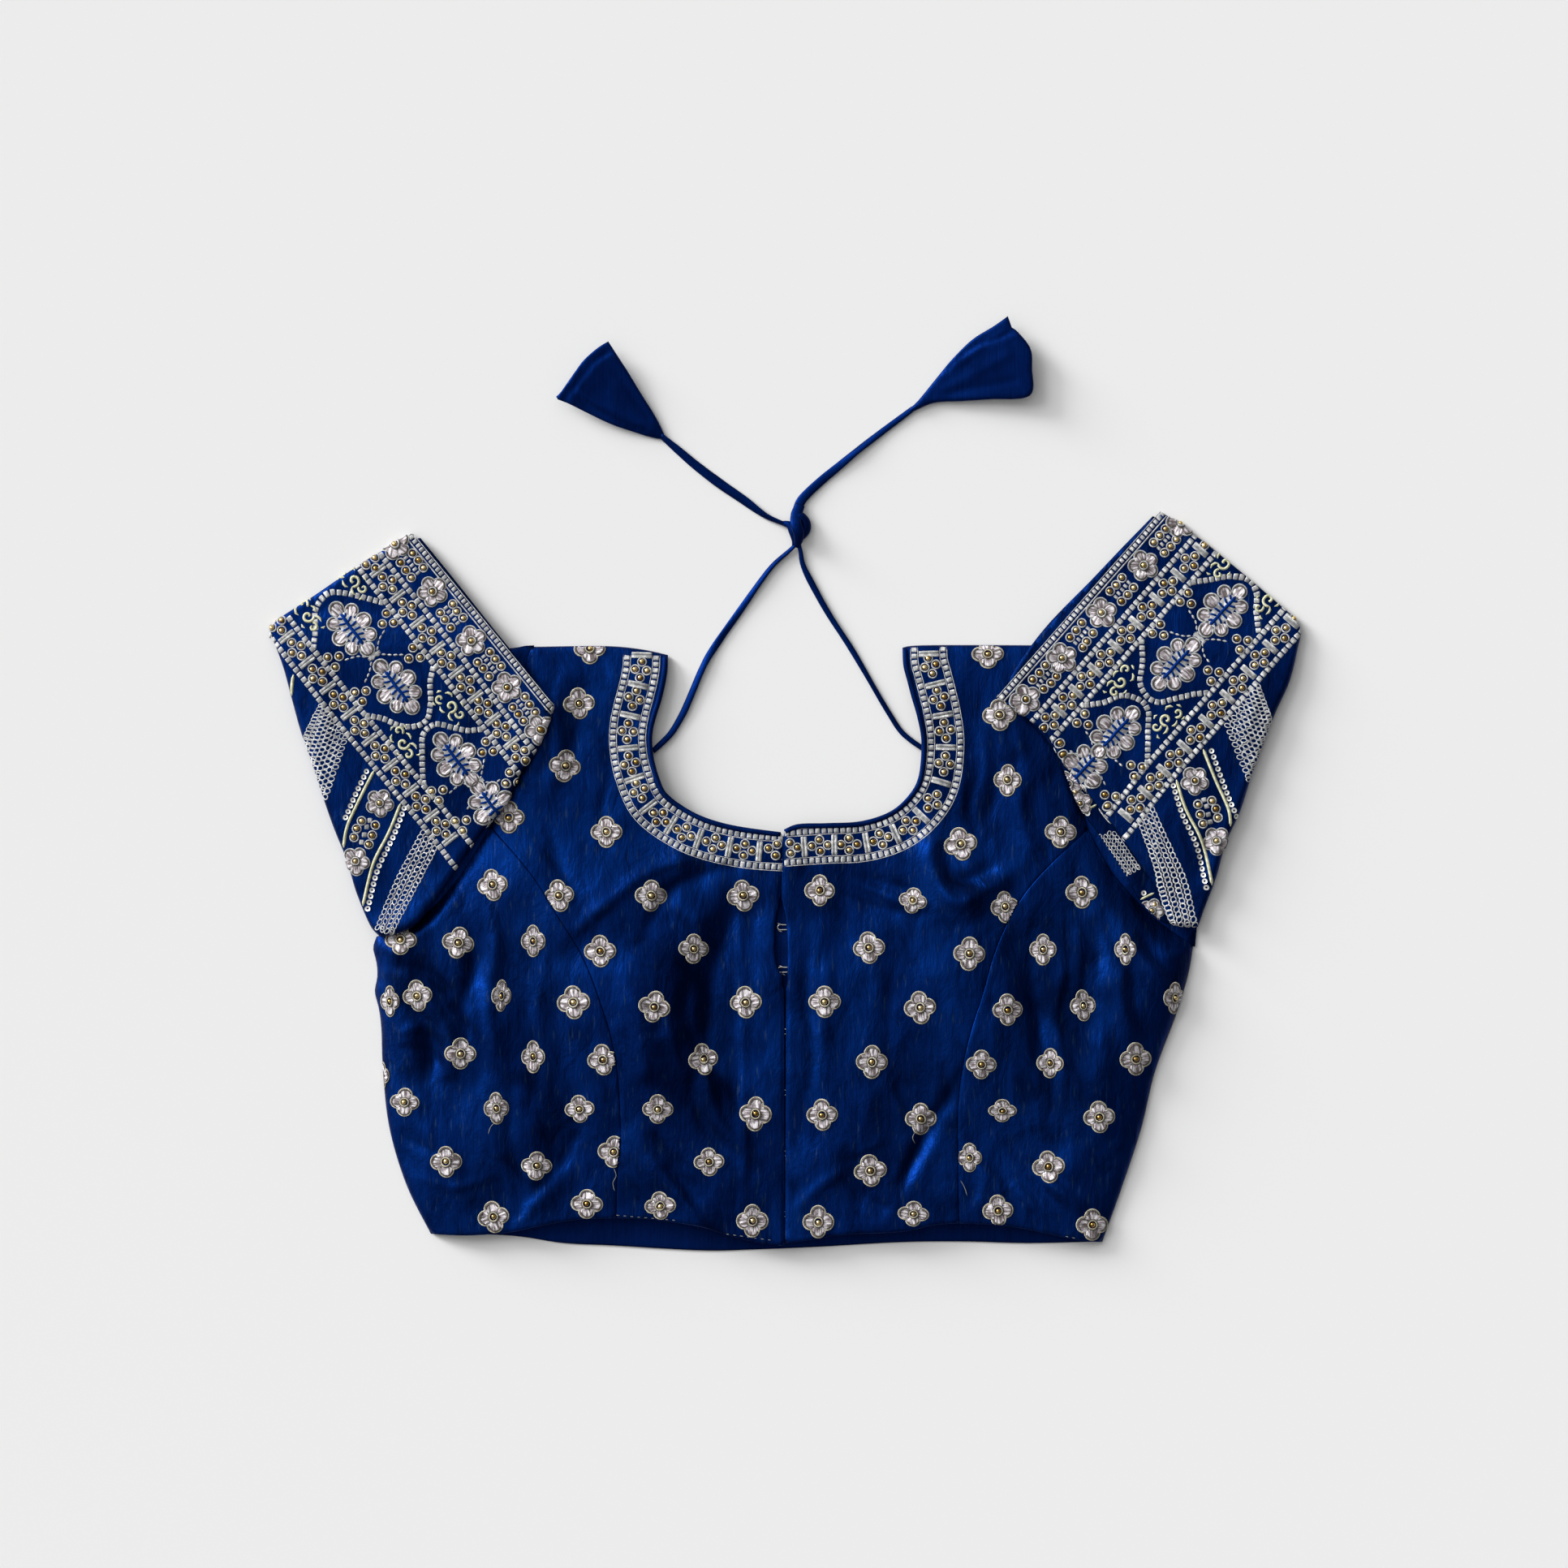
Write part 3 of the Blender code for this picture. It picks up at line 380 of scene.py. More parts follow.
def front_field():
    edge = np.min([nearest(GXY, line)[0] for line in CLOSED_EDGES], axis=0)
    rise = by_level(RISE, GXY[:, 1])
    for x0, y0, x1, y1, wide, high in FOLDS:
        d, _, _ = nearest(GXY, table_mm(((x0, y0), (x1, y1))))
        rise = rise + high * np.exp(-(d / wide) ** 2)
    for high, left, right, points in CREASES:
        rise = rise + crease_height(GXY, high * 1.25, left, right, points)
    rise = rise + 0.62 * soft_noise(24, 36, 3).ravel() + 0.42 * soft_noise(12, 17, 4).ravel() + 0.16 * soft_noise(6, 8, 5).ravel()
    return (SIDE_Z + rise * (1 - np.exp(-edge / EDGE_ROLL))).reshape(GX.shape)


FRONT = front_field()
SEAMS = [curve(PRINCESS_LEFT, 4.0), curve(PRINCESS_RIGHT, 4.0)]
OPENING = [curve(OPEN_LEFT, 4.0), curve(OPEN_RIGHT, 4.0)]
HEMS = [curve(t, 4.0) for t in (HEM_SIDE_LEFT, HEM_CENTRE_LEFT, HEM_CENTRE_RIGHT, HEM_SIDE_RIGHT)]


def front_z(xy):
    """Top of the shown front, with its rolled closed edges, seam grooves and folded edges."""
    z = sample(FRONT, xy)
    for line in SEAMS:
        d = nearest(xy, line)[0]
        z = z - 0.28 * np.exp(-(d / 0.7) ** 2)
    for line in OPENING:
        d = nearest(xy, line)[0]
        z = z - 0.55 * np.exp(-(d / 0.7) ** 2)
    for line in HEMS:
        d = nearest(xy, line)[0]
        z = z - 0.45 * np.exp(-(d / 0.7) ** 2) - 0.16 * np.exp(-((d - 9.0) / 0.9) ** 2)
    d = np.min([nearest(xy, line)[0] for line in ROLLED], axis=0)
    r = 2.8
    turn = np.where(d < r, np.sqrt(np.clip(1 - (1 - d / r) ** 2, 0, 1)), 1.0)
    return 0.95 + (z - 0.95) * turn


def front_painted_shade(xy):
    """Painted shade and painted sheen of the silk at a place: how much darker or lighter it is drawn."""
    out = np.zeros(len(xy))
    # the patches' edges wander a little
    u, v = xy[:, 0] / GRID, xy[:, 1] / GRID
    wander = np.column_stack([9 * np.sin(v / 19 + 1.3) + 6 * np.sin(v / 8.5 + u / 23), 8 * np.sin(u / 17 + 0.4) + 5 * np.sin(u / 9 - v / 31)])
    for x, y, wide, high, lean, amount in PAINTED_SHADE_AND_SHEEN:
        d = xy + wander * GRID - place(x, y)
        c, s = math.cos(math.radians(lean)), math.sin(math.radians(lean))
        u, v = (d[:, 0] * c - d[:, 1] * s) / (wide * GRID), (d[:, 0] * s + d[:, 1] * c) / (high * GRID)
        out += 1.1 * amount * np.exp(-0.7 * (u * u + v * v) ** 1.8)
    return np.clip(out, -0.62, 0.4)


def on_front(xy):
    """Point and normal of the front's surface."""
    z = front_z(xy)
    e = 0.9
    gx = (sample(FRONT, xy + [e, 0]) - sample(FRONT, xy - [e, 0])) / (2 * e)
    gy = (sample(FRONT, xy + [0, e]) - sample(FRONT, xy - [0, e])) / (2 * e)
    n = np.stack([-gx, -gy, np.ones(len(xy))], 1)
    return np.column_stack([xy, z]), n / np.linalg.norm(n, axis=1)[:, None]


# ------------------------------------------------------------------ turned-back sleeves
class Sleeve:
    """One turned-back sleeve: the showing layer on its folds, the layer under it and the hidden stretch."""

    def __init__(self, cuff, top_fold, turn, underarm, underlayer, up, low, shoulder_y, side, seed):
        self.side = side
        self.full = outline(2.4, cuff, top_fold, turn, underarm)
        self.top_fold, self.turn, self.underarm = curve(top_fold, 4.0), curve(turn, 4.0), curve(underarm, 4.0)
        self.cuff = curve(cuff, 4.0)
        lowest = underlayer or underarm
        tip = turn[0] if side < 0 else turn[-1]
        edge = ((tip[0] - side * 10, shoulder_y + 4), (up[0][0], shoulder_y + 1))
        turned = tuple(p for p in turn if p[1] > shoulder_y + 6)
        self.inner = outline(3.5, edge, up, low, turned)
        self.underlay = outline(2.6, cuff, top_fold, turn, lowest)
        self.underlayer = curve(underlayer, 4.0) if underlayer else None
        # support, bridged over its steps
        body = inside(GXY, BODY)
        hid = inside(GXY, self.inner) & ~body
        rise = np.zeros(len(GXY))
        rise[body] = FRONT.ravel()[body]
        rise[hid] = 3.5
        rise = rise.reshape(GX.shape)
        high = rise.copy()
        for k in range(12):
            high = np.maximum(high, self.moved(rise, 11, k * math.pi / 6))
        lifted = high.copy()
        for k in range(6):
            lifted = lifted + self.moved(high, 9, k * math.pi / 3)
        self.lifted = self.blur(lifted / 7.0, 3)
        self.under = self.lifted + 0.55 * np.minimum(1.0, self.lifted) + CLOTH
        rim = np.minimum(nearest(GXY, self.top_fold)[0], nearest(GXY, self.turn)[0])
        low_d = nearest(GXY, self.underarm)[0]
        mouth = nearest(GXY, self.cuff)[0]
        swell = 1 - np.exp(-np.minimum(rim, low_d) / 26.0)
        top = self.under.ravel() + 1.1 + CLOTH + 2.2 * swell * np.exp(-mouth / 45.0) + 1.2 * swell
        top = top + 0.30 * soft_noise(20, 20, seed).ravel() + 0.16 * soft_noise(9, 9, seed + 1).ravel()
        for high, left, right, points in SLEEVE_CREASES[side]:
            top = top + crease_height(GXY, high, left, right, points)
        self.top = top.reshape(GX.shape)
        self.build_folds()

    @staticmethod
    def moved(field, by, angle):
        """The field shifted by a distance, by whole cells."""
        i, j = round(by * math.cos(angle) / STEP), round(by * math.sin(angle) / STEP)
        return np.roll(np.roll(field, i, 1), j, 0)

    @staticmethod
    def blur(field, times):
        for _ in range(times):
            field = (field + np.roll(field, 1, 0) + np.roll(field, -1, 0) + np.roll(field, 1, 1)
                     + np.roll(field, -1, 1)) / 5.0
        return field

    def build_folds(self):
        """The base line of the rolled folds: the outline moved in by the folds' half width, except along the cuff."""
        full = self.full
        on_cuff = nearest(full, self.cuff)[0] < 0.6
        n = loop_normals(full)
        # start the loop in the middle of the cuff so that the folds are one run
        start = int(np.flatnonzero(on_cuff)[len(np.flatnonzero(on_cuff)) // 2])
        full, on_cuff, n = (np.roll(a, -start, 0) for a in (full, on_cuff, n))
        folds = np.flatnonzero(~on_cuff)
        first, last = folds[0], folds[-1]
        run = full[first:last + 1]
        normal = loop_normals(run, False)
        # the fold's own normals, evened out round the corners
        for _ in range(2):
            normal = np.vstack([normal[:1], (normal[:-2] + normal[1:-1] * 2 + normal[2:]) / 4, normal[-1:]])
        normal /= np.linalg.norm(normal, axis=1)[:, None]
        base = run + normal * FOLD_A
        gap = nearest(base, run)[0]
        good = gap > FOLD_A * 0.9
        good[[0, -1]] = True
        idx = np.flatnonzero(good)
        owner = idx[np.argmin(np.abs(np.arange(len(run))[:, None] - idx[None, :]), axis=1)]
        self.base, self.run, self.owner = base, run, owner
        keep_cuff = np.r_[full[:first], full[last + 1:]]
        away = np.minimum(np.linalg.norm(keep_cuff - run[0], axis=1), np.linalg.norm(keep_cuff - run[-1], axis=1))
        head = full[:first][np.linalg.norm(full[:first] - run[0], axis=1) > FOLD_A * 1.15]
        tail = full[last + 1:][np.linalg.norm(full[last + 1:] - run[-1], axis=1) > FOLD_A * 1.15]
        del away
        self.loop = np.vstack([head, base[idx], tail])
        self.loop_at = {int(k): len(head) + n for n, k in enumerate(idx)}
        self.base_line = base[idx]
        self.out_dir = -(normal[idx])
        zt = sample(self.top, self.base_line)
        part = nearest(self.base_line, self.underarm)[0]
        rim = np.minimum(nearest(self.base_line, self.top_fold)[0], nearest(self.base_line, self.turn)[0])
        share = rim / (rim + part + 0.001)
        lift = sample(self.lifted if self.side < 0 else self.under, self.base_line)
        zb = 0.45 + share * (lift + CLOTH * 0.6)
        self.zc, self.zh = (zt + zb) / 2, np.maximum((zt - zb) / 2, 0.9)

    def at(self, xy):
        """Point and normal of the showing layer, round its folds for places beyond them."""
        z = sample(self.top, xy)
        e = 0.9
        gx = (sample(self.top, xy + [e, 0]) - sample(self.top, xy - [e, 0])) / (2 * e)
        gy = (sample(self.top, xy + [0, e]) - sample(self.top, xy - [0, e])) / (2 * e)
        point = np.column_stack([xy, z])
        normal = np.stack([-gx, -gy, np.ones(len(xy))], 1)
        out = ~inside(xy, self.loop)
        if out.any():
            q = xy[out]
            d, seg, frac = nearest(q, self.base_line)
            f = frac[:, None]
            foot = self.base_line[seg] * (1 - f) + self.base_line[seg + 1] * f
            way = self.out_dir[seg] * (1 - f) + self.out_dir[seg + 1] * f
            way /= np.linalg.norm(way, axis=1)[:, None]
            zc = self.zc[seg] * (1 - frac) + self.zc[seg + 1] * frac
            zh = self.zh[seg] * (1 - frac) + self.zh[seg + 1] * frac
            beyond = ((q - foot) * way).sum(1)
            along = q - foot - way * beyond[:, None]
            near_cuff = (nearest(q, self.cuff)[0] < 0.05) | (beyond <= 0)
            a = np.clip(beyond / (0.5 * (FOLD_A + np.minimum(zh, 2 * FOLD_A))), 0, 2.6)
            flat = foot + along + way * (FOLD_A * np.sin(a))[:, None]
            p = np.column_stack([flat, zc + zh * np.cos(a)])
            nn = np.column_stack([way * (np.sin(a) / FOLD_A)[:, None], np.cos(a) / zh])
            point[out] = np.where(near_cuff[:, None], point[out], p)
            normal[out] = np.where(near_cuff[:, None], normal[out], nn)
        return point, normal / np.linalg.norm(normal, axis=1)[:, None]


SLEEVE_CREASES = {
    -1: ((0.8, 4.0, 7.0, ((420, 1000), (450, 1040), (470, 1090))), (-0.8, 5.0, 4.0, ((440, 990), (470, 1030), (490, 1080))),
         (0.7, 6.0, 4.0, ((372, 800), (396, 860), (402, 930)))),
    1: ((0.9, 5.0, 4.0, ((1520, 1000), (1502, 1050), (1484, 1100))), (-0.8, 4.0, 5.0, ((1504, 990), (1486, 1040), (1472, 1090))),
        (0.8, 4.0, 5.0, ((1508, 1008), (1530, 980), (1540, 930))), (0.7, 5.0, 5.0, ((1560, 800), (1546, 860), (1530, 920)))),
}

# ------------------------------------------------------------------ materials
def shader(name, colour, rough, **more):
    """A principled material. more: metallic, sheen and other inputs by socket name."""
    m = bpy.data.materials.new(name)
    m.use_nodes = True
    tree = m.node_tree
    b = tree.nodes["Principled BSDF"]
    b.inputs["Base Color"].default_value = (*colour, 1)
    b.inputs["Roughness"].default_value = rough
    for key, value in more.items():
        b.inputs[key.replace("_", " ")].default_value = value
    m.diffuse_color = (*colour, 1)
    return m, tree, b


def node(tree, kind, **values):
    n = tree.nodes.new(kind)
    for key, value in values.items():
        if key in ("operation", "wave_type", "bands_direction", "data_type", "blend_type", "uv_map", "noise_dimensions",
                   "wave_profile", "clamp"):
            setattr(n, key, value)
        else:
            n.inputs[key.replace("_", " ")].default_value = value
    return n


def ramp(tree, src, low, high, first, second):
    """Linear remap of a value."""
    r = node(tree, "ShaderNodeMapRange", From_Min=low, From_Max=high, To_Min=first, To_Max=second)
    tree.links.new(src, r.inputs["Value"])
    return r.outputs["Result"]


def scaled(tree, src, scale, turn=0.0):
    n = tree.nodes.new("ShaderNodeMapping")
    n.inputs["Scale"].default_value = scale
    n.inputs["Rotation"].default_value = (0, 0, turn)
    tree.links.new(src, n.inputs["Vector"])
    return n.outputs["Vector"]


def mix(tree, fac, one, two, kind="MIX"):
    n = tree.nodes.new("ShaderNodeMix")
    n.data_type = "RGBA"
    n.blend_type = kind
    for sock, value in ((n.inputs[0], fac), (n.inputs[6], one), (n.inputs[7], two)):
        if isinstance(value, (int, float)):
            sock.default_value = value
        elif isinstance(value, tuple):
            sock.default_value = (*value, 1)
        else:
            tree.links.new(value, sock)
    return n.outputs[2]


def silk(name, deep, base, light, rough, metallic, turn, sheen, crumple=1.0):
    """Satin-faced silk: slubbed warp lines, a fine weave and random tone, crumpled softly with painted shade in the
    crumples' hollows and painted sheen on their crests, and painted shade and sheen per vertex from the tone attribute.
    """
    m, tree, b = shader(name, base, rough, Metallic=metallic, Sheen_Weight=sheen, Sheen_Roughness=0.5,
                        Specular_IOR_Level=0.03, Anisotropic=0.3)
    b.inputs["Sheen Tint"].default_value = (0.01, 0.10, 0.5, 1)
    co = tree.nodes.new("ShaderNodeTexCoord").outputs["Object"]
    cloud = node(tree, "ShaderNodeTexNoise", Scale=14.0, Detail=4.0, Roughness=0.55, Distortion=0.8)
    tree.links.new(scaled(tree, co, (1.25, 0.75, 1), turn), cloud.inputs["Vector"])
    crumple_and_painted_shade = node(tree, "ShaderNodeTexNoise", Scale=58.0, Detail=4.0, Roughness=0.6, Distortion=0.45)
    tree.links.new(scaled(tree, co, (1.45, 0.62, 1), turn + 0.15), crumple_and_painted_shade.inputs["Vector"])
    slub = node(tree, "ShaderNodeTexNoise", Scale=1.0, Detail=2.0, Roughness=0.6)
    tree.links.new(scaled(tree, co, (1300, 42, 60), turn), slub.inputs["Vector"])
    dash = node(tree, "ShaderNodeTexNoise", Scale=1.0, Detail=1.0, Roughness=0.5)
    tree.links.new(scaled(tree, co, (640, 95, 60), turn), dash.inputs["Vector"])
    weave = node(tree, "ShaderNodeTexNoise", Scale=1.0, Detail=1.0)
    tree.links.new(scaled(tree, co, (900, 1400, 900), turn), weave.inputs["Vector"])
    tone = mix(tree, ramp(tree, cloud.outputs["Fac"], 0.36, 0.64, 0, 1), deep, light)
    tone = mix(tree, 0.55, tone, base)
    # painted shade in the crumples' hollows and painted sheen on their crests: the same noise gives the crumple bump
    tone = mix(tree, ramp(tree, crumple_and_painted_shade.outputs["Fac"], 0.49, 0.33, 0, 0.62 * crumple), tone, tuple(c * 0.40 for c in base))
    tone = mix(tree, ramp(tree, crumple_and_painted_shade.outputs["Fac"], 0.54, 0.72, 0, 0.5 * crumple), tone, tuple(c * 1.5 for c in base))
    tone = mix(tree, ramp(tree, slub.outputs["Fac"], 0.58, 0.80, 0, 0.6), tone, tuple(min(1, c * 1.6 + 0.001) for c in base))
    tone = mix(tree, ramp(tree, slub.outputs["Fac"], 0.44, 0.25, 0, 0.65), tone, tuple(c * 0.5 for c in base))
    tone = mix(tree, ramp(tree, dash.outputs["Fac"], 0.64, 0.76, 0, 0.42 * crumple ** 2), tone, (0.020, 0.045, 0.10))
    # painted shade and painted sheen per vertex, read from the tone attribute
    local = tree.nodes.new("ShaderNodeAttribute")
    local.attribute_name = "tone"
    share = tree.nodes.new("ShaderNodeMath")
    share.operation = "ADD"
    share.inputs[1].default_value = 1.0
    tree.links.new(local.outputs["Fac"], share.inputs[0])
    toned = tree.nodes.new("ShaderNodeVectorMath")
    toned.operation = "SCALE"
    tree.links.new(tone, toned.inputs[0])
    tree.links.new(share.outputs[0], toned.inputs["Scale"])
    tree.links.new(toned.outputs[0], b.inputs["Base Color"])
    tree.links.new(ramp(tree, weave.outputs["Fac"], 0.3, 0.7, rough - 0.06, rough + 0.08), b.inputs["Roughness"])
    bump0 = node(tree, "ShaderNodeBump", Strength=0.68 * crumple, Distance=0.0020)
    tree.links.new(crumple_and_painted_shade.outputs["Fac"], bump0.inputs["Height"])
    bump1 = node(tree, "ShaderNodeBump", Strength=0.35, Distance=0.00025)
    tree.links.new(slub.outputs["Fac"], bump1.inputs["Height"])
    tree.links.new(bump0.outputs["Normal"], bump1.inputs["Normal"])
    bump2 = node(tree, "ShaderNodeBump", Strength=0.3, Distance=0.00012)
    tree.links.new(weave.outputs["Fac"], bump2.inputs["Height"])
    tree.links.new(bump1.outputs["Normal"], bump2.inputs["Normal"])
    tree.links.new(bump2.outputs["Normal"], b.inputs["Normal"])
    return m


def thread(name, base, shade, light, rough, metallic, pitch, depth=0.00018, streak=0.0):
    """Stitched thread: fine strands across the stitch direction, which the mesh's UV gives in mm."""
    m, tree, b = shader(name, base, rough, Metallic=metallic, Sheen_Weight=0.2, Specular_IOR_Level=0.5)
    uv = tree.nodes.new("ShaderNodeUVMap")
    uv.uv_map = "stitch"
    wave = node(tree, "ShaderNodeTexWave", wave_type="BANDS", bands_direction="Y", wave_profile="SIN", Scale=1.0,
                Distortion=0.9, Detail=1.0, Detail_Scale=0.8)
    tree.links.new(scaled(tree, uv.outputs["UV"], (0.12, 1.0 / pitch * 0.5, 1)), wave.inputs["Vector"])
    co = tree.nodes.new("ShaderNodeTexCoord").outputs["Object"]
    spots = node(tree, "ShaderNodeTexNoise", Scale=420.0, Detail=2.0)
    tree.links.new(co, spots.inputs["Vector"])
    tone = mix(tree, ramp(tree, wave.outputs["Fac"], 0.1, 0.75, 0, 1), shade, base)
    tone = mix(tree, ramp(tree, spots.outputs["Fac"], 0.45, 0.75, 0, 0.75), tone, light)
    tone = mix(tree, ramp(tree, spots.outputs["Fac"], 0.42, 0.25, 0, 0.6), tone, shade)
    if streak:
        rays = node(tree, "ShaderNodeTexNoise", Scale=1.0, Detail=1.0)
        tree.links.new(scaled(tree, uv.outputs["UV"], (0.16, 0.64, 1)), rays.inputs["Vector"])
        tone = mix(tree, ramp(tree, rays.outputs["Fac"], 0.49, 0.38, 0, 0.95 * streak), tone, shade)
        tone = mix(tree, ramp(tree, rays.outputs["Fac"], 0.53, 0.62, 0, 0.95 * streak), tone, light)
    tree.links.new(tone, b.inputs["Base Color"])
    bump = node(tree, "ShaderNodeBump", Strength=0.8, Distance=depth)
    tree.links.new(wave.outputs["Fac"], bump.inputs["Height"])
    tree.links.new(bump.outputs["Normal"], b.inputs["Normal"])
    return m


SATIN = silk("silk_satin", (0.0003, 0.0078, 0.062), (0.0004, 0.0122, 0.090), (0.0007, 0.021, 0.142), 0.45, 0.9, 0.0, 0.04)
SATIN_L = silk("silk_satin_sleeve_left", (0.0003, 0.0080, 0.062), (0.0004, 0.0115, 0.085), (0.0007, 0.019, 0.130), 0.46,
               0.88, 0.66, 0.04)
SATIN_R = silk("silk_satin_sleeve_right", (0.0003, 0.0080, 0.062), (0.0004, 0.0115, 0.085), (0.0007, 0.019, 0.130), 0.46,
               0.88, -0.72, 0.04)
PLAIN = silk("silk_plain", (0.0003, 0.0062, 0.049), (0.0004, 0.0092, 0.068), (0.0006, 0.012, 0.09), 0.55, 0.8, 0.0, 0.03, 0.35)
PINK = thread("pink_thread", (0.68, 0.61, 0.66), (0.13, 0.10, 0.10), (1.0, 0.96, 1.0), 0.42, 0.15, 0.6, streak=1.0)
PAINTED_SHADE_THREAD = thread("brown_thread", (0.060, 0.048, 0.042), (0.022, 0.018, 0.02), (0.15, 0.12, 0.10), 0.5, 0.1, 0.6)
SILVER = thread("silver_thread", (0.50, 0.50, 0.485), (0.15, 0.16, 0.18), (0.82, 0.82, 0.80), 0.40, 0.2, 0.7)
CREAM = thread("cream_thread", (0.50, 0.46, 0.34), (0.20, 0.17, 0.11), (0.74, 0.70, 0.54), 0.42, 0.2, 0.8)
SCROLL = thread("scroll_thread", (0.64, 0.64, 0.40), (0.30, 0.30, 0.17), (0.86, 0.86, 0.60), 0.42, 0.1, 0.8)
VEIN = silk("vein_silk", (0.0006, 0.016, 0.11), (0.0008, 0.022, 0.15), (0.0010, 0.028, 0.19), 0.6, 0.3, 0.0, 0.0, 0.2)
CHAIN = thread("chain_thread", (0.66, 0.66, 0.65), (0.16, 0.17, 0.19), (0.95, 0.95, 0.94), 0.36, 0.3, 0.6)
TAIL = thread("tail_thread", (0.20, 0.21, 0.21), (0.09, 0.10, 0.11), (0.34, 0.34, 0.33), 0.5, 0.1, 0.8)


def gold():
    m, tree, b = shader("gold_bead", (0.60, 0.38, 0.11), 0.2, Metallic=1.0)
    co = tree.nodes.new("ShaderNodeTexCoord").outputs["Object"]
    n = node(tree, "ShaderNodeTexNoise", Scale=140.0, Detail=1.0)
    tree.links.new(co, n.inputs["Vector"])
    tree.links.new(mix(tree, ramp(tree, n.outputs["Fac"], 0.38, 0.62, 0, 1), (0.34, 0.20, 0.05), (0.90, 0.70, 0.34)),
                   b.inputs["Base Color"])
    return m


def sequin():
    m, tree, b = shader("sequin", (0.80, 0.80, 0.76), 0.30, Metallic=0.6)
    co = tree.nodes.new("ShaderNodeTexCoord").outputs["Object"]
    n = node(tree, "ShaderNodeTexNoise", Scale=300.0)
    tree.links.new(co, n.inputs["Vector"])
    tree.links.new(ramp(tree, n.outputs["Fac"], 0.3, 0.7, 0.15, 0.38), b.inputs["Roughness"])
    return m


def steel():
    m, tree, b = shader("hook_wire", (0.62, 0.61, 0.58), 0.28, Metallic=1.0)
    co = tree.nodes.new("ShaderNodeTexCoord").outputs["Object"]
    n = node(tree, "ShaderNodeTexNoise", Scale=900.0)
    tree.links.new(co, n.inputs["Vector"])
    tree.links.new(ramp(tree, n.outputs["Fac"], 0.3, 0.7, 0.2, 0.42), b.inputs["Roughness"])
    return m


GOLD, SEQUIN, STEEL = gold(), sequin(), steel()


# ------------------------------------------------------------------ meshes
root = bpy.context.scene.collection


def mesh_object(name, verts, faces, mat, uv=None, smooth=True):
    """verts in mm; faces are arrays of quads and triangles."""
    me = bpy.data.meshes.new(name)
    verts = np.asarray(verts, float)
    faces = [np.asarray(f, int) for f in faces if len(f)]
    me.vertices.add(len(verts))
    me.vertices.foreach_set("co", (verts * MM).astype(np.float32).ravel())
    loops = np.concatenate([f.ravel() for f in faces])
    totals = np.concatenate([np.full(len(f), f.shape[1]) for f in faces])
    starts = np.r_[0, np.cumsum(totals)[:-1]]
    me.loops.add(len(loops))
    me.loops.foreach_set("vertex_index", loops.astype(np.int32))
    me.polygons.add(len(totals))
    me.polygons.foreach_set("loop_start", starts.astype(np.int32))
    me.polygons.foreach_set("loop_total", totals.astype(np.int32))
    if uv is not None:
        layer = me.uv_layers.new(name="stitch")
        layer.data.foreach_set("uv", np.asarray(uv, np.float32)[loops].ravel())
    me.update(calc_edges=True)
    me.validate()
    if smooth:
        me.shade_smooth()
    me.materials.append(mat)
    ob = bpy.data.objects.new(name, me)
    root.objects.link(ob)
    return ob


def tess(loop, rings=(), lattice=FRONT_LATTICE, extra=None):
    """Points and triangles of a flat outline; its own points come first and in order."""
    pts = [loop]
    for r in rings:
        p = inset(loop, r)
        if len(p):
            pts.append(p[inside(p, loop)])
    clear = (max(rings) if rings else 0.0) + 0.55 * lattice
    row = lattice * math.sqrt(3) / 2
    lo, hi = loop.min(0), loop.max(0)
    jj = np.arange(math.floor(lo[1] / row), math.ceil(hi[1] / row) + 1)
    ii = np.arange(math.floor(lo[0] / lattice) - 1, math.ceil(hi[0] / lattice) + 1)
    J, I = np.meshgrid(jj, ii, indexing="ij")
    grid = np.stack([((I + 0.5 * (J % 2)) * lattice).ravel(), (J * row).ravel()], 1)
    grid = grid[inside(grid, loop)]
    grid = grid[nearest(grid, loop, True)[0] > clear]
    pts.append(grid)
    if extra is not None:
        pts.append(extra)
    pts = np.vstack(pts)
    n = len(loop)
    got = delaunay_2d_cdt([Vector(p) for p in pts], [(i, (i + 1) % n) for i in range(n)], [list(range(n))], 1, 1e-5)
    return np.array([(v[0], v[1]) for v in got[0]]), np.array([tuple(f) for f in got[2]], int)


def flat_facts(verts, faces, sides):
    """Flat area in square metres of a shell from its triangles, and the width and length of its cut."""
    a, b, c = (verts[faces[:, k]] for k in range(3))
    area = 0.5 * np.linalg.norm(np.cross(b - a, c - a), axis=1).sum() * 1e-6
    span = (verts.max(0) - verts.min(0)) * 0.001
    w, l = span[0] * sides[0], span[1] * sides[1]
    if area > w * l:
        w *= area / (w * l) * 1.001
    return area, w, l


def give_painted_shade(ob, tone):
    ob.data.attributes.new("tone", "FLOAT", "POINT").data.foreach_set("value", np.asarray(tone, np.float32))


def cloth(name, mat, verts, faces, replaces, sides=(1.0, 1.0), ply=PLY, tone=None):
    ob = mesh_object(name, verts, [faces], mat)
    if tone is not None:
        give_painted_shade(ob, tone)
    s = ob.modifiers.new("ply", "SOLIDIFY")
    s.thickness = ply * MM
    s.offset = -1.0
    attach(ob, "root")
    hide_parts(*replaces)
    area, w, l = flat_facts(verts, faces, sides)
    return ob


def part(name, slot, mat, verts, faces, replaces=(), uv=None, smooth=True):
    ob = mesh_object(name, verts, faces, mat, uv, smooth)
    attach(ob, "root")
    if replaces:
        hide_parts(*replaces)
    return ob


